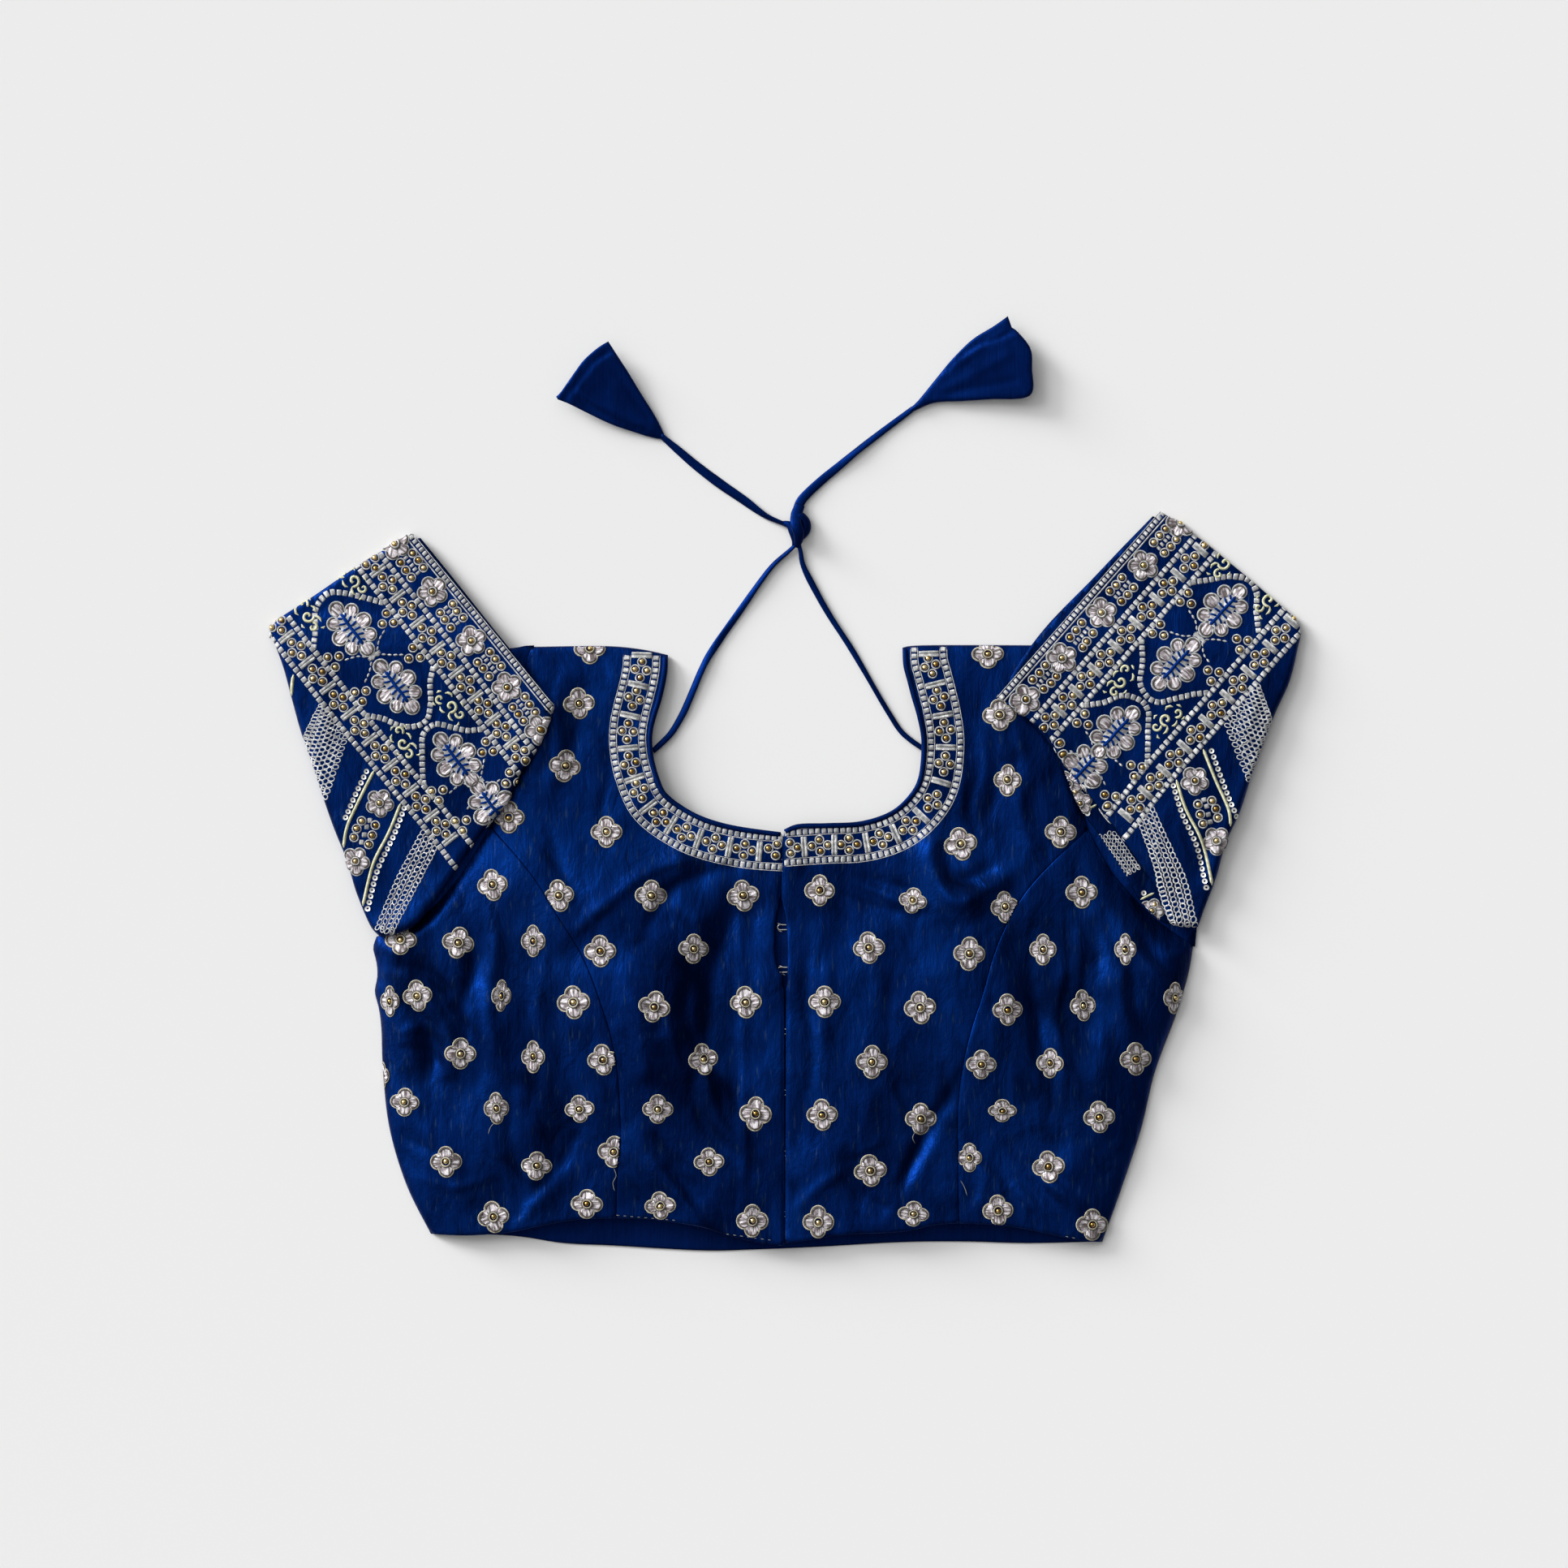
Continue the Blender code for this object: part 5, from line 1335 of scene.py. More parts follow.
def sleeve_work(name, sleeve, fr, spec):
    st = Stitches(name, sleeve.at)
    turn = fr.turn()
    s0, s1 = spec["span"]
    # cuff: small squares with a thin line, flowers and bead clusters
    put_square_row(st, row_line(fr, spec["small"], s0, s1), 2.95, SMALL_SQUARE)
    put_cord(st, "silver", row_line(fr, spec["small"], s0, s1, 5.4), 0.42)
    put_cord(st, "silver", row_line(fr, spec["small"], s0, s1, -4.2), 0.25)
    for n, s in enumerate(spec["flowers"]):
        put_five(st, fr.mm(s, np.interp(s, *zip(*spec["flower_row"]))), turn + 0.15 * math.sin(2.1 * n), 1.0)
    for s in spec["clusters"]:
        t = float(np.interp(s, *zip(*spec["flower_row"])))
        for ds in (-11, 0, 11):
            for dt in (-9.5, 9.5):
                put_bead(st, fr.mm(s + ds + RNG.normal(0, 0.5), t + dt + RNG.normal(0, 0.5)), 1.0)
        for k in range(5):
            put_square(st, fr.mm(s - 12 + 6 * k, t), turn, (0.78, 0.95), SMALL_SQUARE)
    ladder(st, fr, spec["l1_up"], spec["l1_low"], spec["bars1"], spec["beads1"], spec["l1_mid"], s0, s1)
    # ogee field
    for s, t in spec["blooms"]:
        put_leaf_bloom(st, fr.mm(s, t), turn, 1.0)
    for s, t, down in spec["threes"]:
        three_beads(st, fr, s, t, down)
    for s, t in spec["stars"]:
        near = sorted(spec["threes"], key=lambda q: abs(q[0] - s))[:4]
        top = {(-1 if q[0] < s else 1): (q[0], q[1]) for q in near if q[2]}
        bottom = {(-1 if q[0] < s else 1): (q[0], q[1]) for q in near if not q[2]}
        put_meeting(st, fr, s, t, top, bottom)
    for pts in spec["ogees"]:
        put_square_row(st, fr.line(pts, 1.5), 3.5, SQUARE, (0.95, 1.02))
    for s, t, flip in spec["scrolls"]:
        put_scroll(st, fr.mm(s, t), turn, flip)
    ladder(st, fr, spec["l2_up"], spec["l2_low"], spec["bars2"], spec["beads2"], spec["l2_mid"], s0, spec["span2"])
    # slanting stripes beyond the borders
    for left, right in spec["chains"]:
        put_chain_area(st, np.array([fr.mm(*p) for p in left]), np.array([fr.mm(*p) for p in right]))
    for pts in spec["gold_lines"]:
        put_cord(st, "scroll", fr.line(pts), 0.95)
    for pts in spec["sequins"]:
        sequin_line(st, fr, pts)
    for s, t in spec["low_flowers"]:
        put_five(st, fr.mm(s, t), turn + 0.4, 0.92)
    for s, t in spec["low_beads"]:
        for ds, dt in ((-14.5, -5), (-10.5, 5.5), (-4, 14.5), (0, -15), (7.5, -4.5), (14, 5.5)):
            put_bead(st, fr.mm(s + ds, t + dt), 1.0)
        for ds, dt in ((-5, -5.5), (1, 3), (6, 11), (-9, -13)):
            put_square(st, fr.mm(s + ds, t + dt), turn + 0.9, (0.9, 0.9))
    return st


LEFT_WORK = dict(
    span=(-9, 326), span2=362,
    small=((4, 8), (136, 4.4), (298, 0)),
    flower_row=((4, 29), (136, 27.6), (298, 27.6)),
    flowers=(-2, 72, 150, 222, 288), clusters=(31, 110, 186, 256),
    l1_up=((4, 51), (136, 49), (298, 50)), l1_low=((4, 82.6), (136, 81.5), (298, 81.5)), l1_mid=((4, 66), (298, 65.5)),
    bars1=(10.6, 50, 91, 131, 169, 207, 242, 279), beads1=(-4, 30, 70, 110, 149, 187, 223, 259, 297),
    blooms=((48, 135), (138, 135), (254, 132), (328, 132)), stars=((91, 133), (293, 129)),
    threes=((66, 95, True), (120, 95, True), (266, 95, True), (314, 95, True), (65, 174, False), (119, 174, False),
            (273, 174, False), (320, 174, False)),
    ogees=(((44, 86), (28, 98), (8, 114), (-5, 132), (1, 156), (19, 169), (36, 185)),
           ((148, 86), (160, 100), (178, 113), (192, 129), (191, 145), (178, 161), (157, 173), (144, 185)),
           ((242, 86), (233, 100), (216, 114), (203, 126), (204, 145), (219, 158), (239, 173), (251, 181))),
    scrolls=((196, 98, -1), (196, 170, 1), (0, 98, -1), (0, 167, 1)),
    l2_up=((4, 188), (136, 187), (298, 181.5)), l2_low=((4, 220), (136, 219), (298, 214)), l2_mid=((4, 204), (298, 198)),
    bars2=(6, 46, 87, 128, 169, 209, 249, 289, 326), beads2=(-14, 26, 67, 108, 149, 189, 229, 269, 308),
    chains=((((96, 222), (106, 243), (116, 263)), ((151, 222), (173, 255), (195, 289))),
            (((295, 219), (322, 279), (354, 336)), ((326, 217), (348, 264), (375, 323)))),
    gold_lines=(((48, 226), (58, 236), (67, 244)), ((202, 220), (219, 256), (236, 288), (254, 308)),
                ((254, 219), (272, 250), (292, 291), (325, 333))),
    sequins=(((197, 228), (211, 256), (226, 283)), ((261, 219), (281, 252), (300, 290), (331, 330))),
    low_flowers=((238, 239), (276, 306)), low_beads=((256, 275),),
)
RIGHT_WORK = dict(
    span=(-12, 316), span2=346,
    small=((0, 7), (298, 7)),
    flower_row=((0, 31), (298, 31)),
    flowers=(-6, 63.5, 142, 216, 283.5), clusters=(23, 103.5, 179, 248),
    l1_up=((0, 54.7), (298, 54.7)), l1_low=((0, 88), (298, 88)), l1_mid=((0, 71), (298, 71)),
    bars1=(3, 44, 84, 123, 161.5, 200, 235, 266.5), beads1=(-14, 23, 64, 103, 142, 181, 217, 251, 284),
    blooms=((41, 141), (129, 141), (241, 141), (303, 141)), stars=((85, 141.5), (279, 141.5)),
    threes=((60, 100, True), (112, 100, True), (256, 103, True), (303, 104, True), (56, 183, False), (108.5, 182, False),
            (258.5, 188, False), (307, 188, False)),
    ogees=(((136, 91), (154, 108.5), (175, 123), (182, 141), (178, 156), (163, 167), (142, 182), (131, 192)),
           ((239, 92), (222, 106), (201, 117), (191, 138), (195, 154), (210, 167), (231, 185), (242, 194)),
           ((38, 91), (20, 106), (3, 120), (-8, 140), (-3, 158), (14, 172), (30, 190))),
    scrolls=((188, 103, -1), (186, 178, 1), (-6, 103, -1), (-8, 176, 1)),
    l2_up=((0, 196), (240, 196), (320, 201)), l2_low=((0, 230), (240, 230), (320, 235)), l2_mid=((0, 213), (320, 218)),
    bars2=(-5, 36, 77, 117, 157, 198, 237, 272, 309), beads2=(-20, 16, 56, 97, 137, 177, 217, 254, 290),
    chains=((((79, 235), (90, 254), (101, 273)), ((145, 235), (162, 269), (179, 304))),
            (((278, 238), (298, 282), (319, 329), (351, 373)), ((306, 235), (331, 279), (354, 314), (373, 347)))),
    gold_lines=(((185, 235), (204, 273), (219, 306), (233.5, 323)), ((235, 235), (254, 267), (272, 311), (303, 354))),
    sequins=(((180, 244), (202, 284), (220, 320)), ((243, 237), (262, 268), (280, 308), (310, 350))),
    low_flowers=((221, 253), (258.5, 322)), low_beads=((240, 290),),
)

# ------------------------------------------------------------------ scattered flowers: centre, turn, width share, height share
BUTTI = {
    "centre_left": ((727, 799, 0, 1, 1), (714, 867, 8, 1, 1), (697, 944, -6, 1, 1), (748, 1025, 3, 1, 1),
                    (628, 1007, 0, 1, 1), (690, 1103, 12, .95, 1), (803, 1103, 0, 1, 1), (916, 1103, 10, 1, 1), (741, 1171, 4, 1, 1),
                    (855, 1168, 0, .95, .95), (807, 1239, -8, 1, 1), (919, 1234, 5, 1, 1), (867, 1304, 8, .92, 1),
                    (811, 1365, 0, .97, .92), (931, 1371, -4, 1, 1.08), (874, 1430, 5, .97, .9), (814, 1484, 0, .98, .9),
                    (927, 1503, 4, 1, 1.05)),
    "side_left": ((608, 1090, 5, .95, 1), (495, 1158, 0, 1, .9), (566, 1161, -5, 1, 1),
                  (658, 1159, 0, .75, 1), (482, 1233, 0, .6, 1), (516, 1226, 8, .95, 1), (619, 1226, 0, .6, 1),
                  (708, 1234, 4, 1.03, 1.05), (569, 1297, 0, 1, 1), (658, 1301, 0, .75, 1), (744, 1304, 6, .97, .97),
                  (471, 1325, 0, .5, .9), (500, 1357, 0, .95, .9), (613, 1364, 6, .78, 1), (715, 1365, 4, .95, .88),
                  (551, 1430, 0, 1, 1), (662, 1435, 0, .97, .9), (757, 1418, -4, 1, 1), (609, 1498, 8, 1, 1),
                  (724, 1482, 0, 1, .92)),
    "centre_right": ((1217, 806, 0, 1.02, .9), (1231, 881, 6, 1.05, 1), (1241, 961, 0, .88, 1), (1183, 1040, 10, 1.05, 1.05),
                     (1010, 1097, 0, .95, 1), (1124, 1109, -15, .88, .8), (1070, 1167, 4, 1, 1), (1193, 1174, 0, 1, 1.05), (1306, 1025, 0, 1, 1), (1237, 1117, 5, .9, 1),
                     (1016, 1233, 0, 1.02, 1), (1133, 1240, 8, 1, 1.03), (1074, 1307, 0, 1, 1.05), (1013, 1372, 4, .98, 1),
                     (1134, 1377, 0, 1, 1), (1072, 1441, 6, 1.05, 1), (1008, 1504, 0, .97, 1.04), (1125, 1494, -6, .97, .8)),
    "side_right": ((1332, 1099, 0, 1, 1.03), (1284, 1169, 0, .85, 1),
                   (1385, 1169, 0, .68, 1), (1240, 1243, 0, .95, 1), (1333, 1238, 6, .8, 1), (1446, 1229, 0, .7, 1),
                   (1208, 1310, 0, .95, .92), (1293, 1309, 0, .85, .95), (1398, 1304, 5, 1, 1.03), (1234, 1367, 0, .92, .72),
                   (1353, 1375, 3, 1, 1), (1194, 1425, 0, .8, .9), (1291, 1436, 6, 1, 1), (1229, 1490, 4, .97, 1),
                   (1345, 1508, -3, 1, 1)),
}

# neck border: place from the shoulder (drafting y or share), inner row's distance from the edge in drafting units
NECK_ROW = ((0.0, 14.0), (0.18, 14.5), (0.30, 12.5), (0.52, 10.0), (0.75, 9.0), (1.0, 9.0))
NECK_RUN_LEFT = NECK_LEFT[:-1] + ((940, 1022), (965, 1023.5))
NECK_RUN_RIGHT = NECK_RIGHT[:-2] + ((984, 1016.5), (966, 1018))
NECK_BARS_LEFT = ((794, 806), (785, 844), (777, 882), (774, 922), (783, 959), (802, 992), (828, 1015), (862, 1031),
                  (899, 1043), (936, 1044))
NECK_BARS_RIGHT = ((1140, 806), (1150, 844), (1158, 882), (1163, 921), (1157, 963), (1138, 1008), (1104, 1029),
                   (1067, 1035), (1028, 1041), (991, 1043))


def neck_work(name, table, bars, side):
    st = Stitches(name, on_front)
    edge = curve(table, 1.5)
    run = np.linspace(0, 1, len(edge))
    n = loop_normals(edge, False) * (1 if side < 0 else -1)
    if side < 0:
        n = -n
    # the normal points into the cloth, away from the neck opening
    centre = place(967, 905)
    if ((edge[5] - centre) * n[5]).sum() < 0:
        n = -n
    # squared up where the border meets the opening
    square = np.clip(1 - np.abs(edge[:, 0] - place(967, 0)[0]) / 26.0, 0, 1)[:, None] * (edge[:, 1] < place(0, 990)[1])[:, None]
    n = n * (1 - square) + np.array([[0.0, -1.0]]) * square
    n /= np.linalg.norm(n, axis=1)[:, None]
    inner = np.interp(run, [r[0] for r in NECK_ROW], [r[1] for r in NECK_ROW]) * GRID
    for add in (0.0, 36.0 * GRID):
        line = edge + n * (inner + add)[:, None]
        put_square_row(st, line[1:-1], 3.58, SQUARE, (0.95, 1.0))
        for off in (-2.05, 2.05):
            put_cord(st, "silver", resample(edge + n * (inner + add + off)[:, None], 2.2), 0.24)
    middle = edge + n * (inner + 18.0 * GRID)[:, None]
    marks = []
    for x, y in bars:
        p = place(x, y)
        d, seg, frac = nearest(p[None, :], middle)
        k = int(seg[0])
        q = middle[k] * (1 - frac[0]) + middle[k + 1] * frac[0]
        t = middle[min(k + 1, len(middle) - 1)] - middle[k]
        marks.append((k + frac[0], q, math.atan2(t[1], t[0])))
        put_bar(st, q, marks[-1][2], 11.8)
    for (k0, _, _), (k1, _, _) in zip(marks, marks[1:]):
        k = (k0 + k1) / 2
        i = int(k)
        q = middle[i] + (middle[i + 1] - middle[i]) * (k - i)
        t = middle[i + 1] - middle[i]
        put_diamond(st, q, math.atan2(t[1], t[0]), 4.6, 3.3, 1.0)
    return st, edge, n


# ------------------------------------------------------------------ build: cloth
back_panel()
PANELS = {
    "centre_left": front_panel("front_centre_left_cloth", (SHOULDER_LEFT, NECK_LEFT, OPEN_LEFT, HEM_CENTRE_LEFT,
                                                            PRINCESS_LEFT, ARMHOLE_LEFT_UP), "front_centre_left"),
    "centre_right": front_panel("front_centre_right_cloth", (SHOULDER_RIGHT, NECK_RIGHT, OPEN_RIGHT, HEM_CENTRE_RIGHT,
                                                              PRINCESS_RIGHT, ARMHOLE_RIGHT_UP), "front_centre_right"),
    "side_left": front_panel("front_side_left_cloth", (ARMHOLE_LEFT_LOW, PRINCESS_LEFT, HEM_SIDE_LEFT, SIDE_LEFT),
                             "front_side_left"),
    "side_right": front_panel("front_side_right_cloth", (ARMHOLE_RIGHT_LOW, PRINCESS_RIGHT, HEM_SIDE_RIGHT, SIDE_RIGHT),
                              "front_side_right"),
}


def underlap():
    lo, hi = place(945, 1526), place(983, 1037)
    loop = np.array([[lo[0], lo[1]], [hi[0], lo[1]], [hi[0], hi[1]], [lo[0], hi[1]]])
    loop = resample(np.vstack([loop, loop[:1]]), 3.0)[:-1]
    pts, faces = tess(loop, (0.6,), 3.4)
    z = sample(FRONT, pts) - CLOTH - 2.1
    d = nearest(pts, loop, True)[0]
    z = z - 0.3 * np.exp(-(d / 0.6) ** 2)
    return cloth("underlap_cloth", PLAIN, np.column_stack([pts, z]), faces, ("placket_underlap",))


underlap()

for side, table, word in ((-1, NECK_LEFT, "left"), (1, NECK_RIGHT, "right")):
    line = curve(table, 2.0)
    t = np.gradient(line, axis=0)
    t /= np.linalg.norm(t, axis=1)[:, None]
    out = np.stack([t[:, 1], -t[:, 0]], 1)
    if ((line[6] - place(967, 905)) * out[6]).sum() < 0:
        out = -out
    mid = line + out * (PIPING_R * 0.9)
    z = front_z(mid) - 0.35 + 0.1 * np.sin(np.arange(len(line)) * 0.37)
    pts = np.column_stack([mid, z])
    across = np.column_stack([out, np.zeros(len(line))]) * (PIPING_R * (0.95 + 0.05 * np.sin(np.arange(len(line)) * 0.23)))[:, None]
    up = np.tile([0, 0, PIPING_R * 0.78], (len(line), 1))
    v, q, c, uv = sweep(pts, across, up, 12)
    part("neck_piping_%s_cloth" % word, "silk_plain", PLAIN, v, [q, c], ("neck_piping_%s" % word,), uv)

# hooks: bent wire with two eyes on the left edge and the bill over the loop on the right
HOOK_LEVELS = (1062, 1142, 1194, 1270, 1345, 1420, 1495)
for n, level in enumerate(HOOK_LEVELS, 1):
    cx, cy = place(967, level)
    a = np.linspace(0.5 * math.pi, 1.5 * math.pi, 9)
    bow = np.stack([cx - 2.6 + 1.5 * np.cos(a), cy + 1.5 * np.sin(a)], 1)
    eye = np.linspace(-0.5 * math.pi, 1.0 * math.pi, 10)
    top = np.stack([cx + 2.6 + 0.8 * np.cos(eye), cy + 2.1 + 0.8 * np.sin(eye)], 1)[::-1]
    low = np.stack([cx + 2.6 + 0.8 * np.cos(eye), cy - 2.1 - 0.8 * np.sin(eye)], 1)
    flat = resample(np.vstack([top, bow, low]), 0.6)
    zz = sample(FRONT, np.array([[cx, cy]]))[0] - CLOTH - 1.1
    pts = np.column_stack([flat, np.full(len(flat), zz)])
    t = np.gradient(pts, axis=0)
    t /= np.linalg.norm(t, axis=1)[:, None]
    v, q, c, uv = sweep(pts, np.cross(t, [0, 0, 1.0]) * 0.36, np.tile([0, 0, 0.36], (len(pts), 1)), 6)
    part("hook_%d_wire" % n, "hook_wire", STEEL, v, [q, c], ("hook_%d" % n,), uv)


def sleeve_cloth(word, sl, mat, up, low):
    pts, faces = tess(sl.loop, (), SLEEVE_LATTICE)
    z = sample(sl.top, pts)
    d = nearest(pts, sl.cuff)[0]
    z = z - 0.25 * np.exp(-(d / 0.6) ** 2)
    verts = [np.column_stack([pts, z])]
    tris = [faces]
    # rolled folds from the showing layer down to the layer under it
    angles = np.linspace(0, math.pi * 0.98, 11)[1:]
    cols = []
    base_of = {k: n for n, k in enumerate(sorted(sl.loop_at))}
    first = len(pts)
    rows = []
    for i in range(len(sl.run)):
        k = int(sl.owner[i])
        n = base_of[k]
        b = sl.base[k]
        way = sl.run[i] - b
        size = np.linalg.norm(way)
        way = way / size * min(size, FOLD_A * 1.25)
        xy = b[None, :] + way[None, :] * np.sin(angles)[:, None]
        rows.append(np.column_stack([xy, sl.zc[n] + sl.zh[n] * np.cos(angles)]))
        cols.append(sl.loop_at[k])
    m = len(angles)
    verts.append(np.vstack(rows))
    strip = []
    for i in range(len(rows) - 1):
        a0, b0 = cols[i], cols[i + 1]
        for k in range(m):
            a1, b1 = first + i * m + k, first + (i + 1) * m + k
            if a0 != b0:
                strip.append((a0, a1, b0))
            strip.append((a1, b1, b0))
            a0, b0 = a1, b1
    tris.append(np.array(strip, int))
    # the layer under it
    layer = inset(sl.underlay, 3.4)
    if sl.underlayer is not None:
        free = nearest(sl.underlay, sl.underlayer)[0] < 3.0
        layer = inset(sl.underlay, np.where(free, 0.3, 3.4))
    upts, ufaces = tess(layer, (1.0,), 4.2)
    uz = sample(sl.under, upts)
    if sl.underlayer is not None:
        e = nearest(upts, sl.underlayer)[0]
        turn = np.where(e < 2.0, np.sqrt(np.clip(1 - (1 - e / 2.0) ** 2, 0, 1)), 1.0)
        rest = sample(sl.lifted, upts) + 0.35
        uz = rest + (uz - rest) * turn
    start = first + len(verts[1])
    verts.append(np.column_stack([upts, uz]))
    tris.append(ufaces + start)
    verts, tris = np.vstack(verts), np.vstack(tris)
    ob = mesh_object("sleeve_%s_cloth" % word, verts, [tris], mat)
    # painted shade: the showing layer is drawn darker towards the cuff's mouth, more on the right sleeve
    mouth = nearest(verts[:, :2], sl.cuff)[0]
    shade = (-0.2 if word == "left" else -0.6) * np.exp(-(mouth / 3.2) ** 2)
    # the layer under it lies in the fold's shade
    shade[start:] = -0.42
    give_painted_shade(ob, shade)
    s = ob.modifiers.new("ply", "SOLIDIFY")
    s.thickness = PLY * MM
    s.offset = -1.0
    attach(ob, "root")
    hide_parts("sleeve_%s" % word, "sleeve_%s_under" % word)
    area, w, l = flat_facts(verts, tris, (1.0, 1.0))
    # the hidden stretch between armhole and fold, two layers with rolled edges
    turned = np.minimum(nearest(sl.inner, sl.turn)[0], nearest(sl.inner, sl.top_fold)[0]) < 8.0
    sewn = np.minimum(nearest(sl.inner, curve(up, 4.0))[0], nearest(sl.inner, curve(low, 4.0))[0]) < 2.0
    step_in = np.where(turned, 2.6, np.where(sewn, -3.5, 0.4))
    for _ in range(6):
        step_in = (np.roll(step_in, 1) + step_in * 2 + np.roll(step_in, -1)) / 4
    hide = sl.inner + loop_normals(sl.inner) * step_in[:, None]
    hpts, hfaces = tess(hide, (2.0,), 5.5)
    e = nearest(hpts, hide, True)[0]
    roll = np.where(e < 2.4, np.sqrt(np.clip(1 - (1 - e / 2.4) ** 2, 0, 1)), 1.0)
    near = np.minimum(nearest(hpts, curve(up, 4.0))[0], nearest(hpts, curve(low, 4.0))[0])
    under = inside(hpts, BODY) | (near < 2.0)
    top = np.column_stack([hpts, 1.5 + np.where(under, 0.15, 0.15 + 1.95 * np.clip((near - 2.0) / 6.0, 0, 1)) * roll])
    bottom = np.column_stack([hpts, 1.5 - 1.35 * roll])
    n = len(hpts)
    nh = len(hide)
    ring = np.array([(i, (i + 1) % nh, n + (i + 1) % nh) for i in range(nh)] + [(i, n + (i + 1) % nh, n + i) for i in range(nh)])
    hv = np.vstack([top, bottom])
    hf = np.vstack([hfaces, hfaces[:, ::-1] + n, ring[:, ::-1]])
    cloth("sleeve_%s_hidden_cloth" % word, mat, hv, hf, ("sleeve_%s_inner" % word,),
          ply=0.5)
    return ob


# the sleeve's own sewn edge stops short of the side's tip
SEWN_LEFT_LOW = ARMHOLE_LEFT_LOW[:-1] + ((475, 1158),)
LEFT = Sleeve(CUFF_L, TOP_FOLD_L, TURN_L, UNDERARM_L, None, ARMHOLE_LEFT_UP, SEWN_LEFT_LOW, 797, -1, 51)
RIGHT = Sleeve(CUFF_R, TOP_FOLD_R, TURN_R, UNDERARM_R, UNDERLAYER_R, ARMHOLE_RIGHT_UP, ARMHOLE_RIGHT_LOW, 795, 1, 57)
sleeve_cloth("left", LEFT, SATIN_L, ARMHOLE_LEFT_UP, SEWN_LEFT_LOW)
sleeve_cloth("right", RIGHT, SATIN_R, ARMHOLE_RIGHT_UP, ARMHOLE_RIGHT_LOW)

# ------------------------------------------------------------------ build: ties, knot and tie ends
DORI_LEFT_LOW = ((804.5, 925.5), (816, 915), (828, 902), (841, 880), (850, 860), (867, 820), (882, 795), (910, 755), (938, 715),
                 (954, 695), (974, 677.5), (980.5, 671.0))
DORI_RIGHT_LOW = ((1138, 923), (1122, 912), (1109, 900), (1096, 880), (1084, 860), (1061, 820), (1046, 795),
                  (1020, 755), (998, 715), (989, 695), (986.4, 680), (984.5, 671.5))
DORI_LEFT_UP = ((972.5, 648.0), (944, 636), (916, 616), (887, 596), (858, 574), (838, 557), (821, 542.5), (814, 536.5))
DORI_RIGHT_UP = ((982.0, 632), (988, 616), (1009, 595), (1033, 575), (1057, 555), (1083, 535), (1117, 509.5), (1125, 503.5))
FLAG_LEFT = ((750, 422), (737, 430), (720, 445), (708, 461), (692, 484), (686, 492), (702, 499), (750, 522),
             (779, 532), (802, 539), (816, 541), (819, 537), (808, 514), (790, 485), (773, 457))
FLAG_RIGHT = ((1241, 391), (1224, 403), (1198, 419), (1175, 441), (1158, 461), (1131, 494), (1118, 506), (1121, 509),
              (1150, 497), (1183, 495), (1219, 493), (1268, 489), (1271, 455), (1269, 431), (1254, 411), (1246, 405))


def strand(points, wide, thick, twist=0.0):
    """A thick soft band through drafting points (x, y, height in mm)."""
    p = np.array([[*place(x, y), z] for x, y, z in points])
    p = resample(fine_curve(p, 8), 1.0)
    run = np.linspace(0, 1, len(p))
    w = np.interp(run, np.linspace(0, 1, len(wide)), wide)
    h = np.interp(run, np.linspace(0, 1, len(thick)), thick)
    tw = np.full(len(p), twist)
    return ribbon(p, w, h, tw, 14)


def knot():
    pieces = (
        # the band that comes down from the right tie over the front of the knot
        strand(((986, 622, 2.2), (981.5, 634, 3.6), (980.5, 646, 6.6), (984, 657, 6.6), (983.5, 667, 4.4), (981, 674, 2.2)),
               (5.6, 6.6, 6.4, 6.2, 5.6, 3.4), (2.2, 2.8, 2.6, 2.6, 2.6, 2.0)),
        # the wrap round the right side
        strand(((976, 640, 4.4), (986, 635.5, 4.0), (993.5, 643, 3.4), (994, 653, 3.0), (987, 662, 2.8), (979, 662, 2.6)),
               (3.6, 4.6, 5.0, 5.2, 4.4, 3.6), (2.2, 2.4, 2.4, 2.4, 2.2, 2.0), 0.55),
        # the wrap round the left side, into the left tie
        strand(((965, 645, 1.8), (973, 647.5, 3.0), (977, 655, 3.4), (980, 665, 2.8), (979, 673, 2.0)),
               (3.0, 4.6, 5.2, 4.8, 3.2), (2.2, 3.0, 3.2, 3.0, 2.0), -0.2),
        # the turn at the back
        strand(((974, 650, 1.9), (984, 646, 1.9), (992, 651, 1.9), (988, 661, 1.9)), (4.2, 5.2, 5.0, 4.0),
               (2.6, 3.0, 3.0, 2.6)),
    )
    V, Q, C, U, base = [], [], [], [], 0
    for v, q, c, uv in pieces:
        V.append(v)
        Q.append(q + base)
        C.append(c + base)
        U.append(uv)
        base += len(v)
    V = np.vstack(V)
    V[:, 2] = np.maximum(V[:, 2], 0.15)
    return part("dori_knot_cloth", "silk_plain", TIE, V, [np.vstack(Q), np.vstack(C)], ("dori_knot",), np.vstack(U))


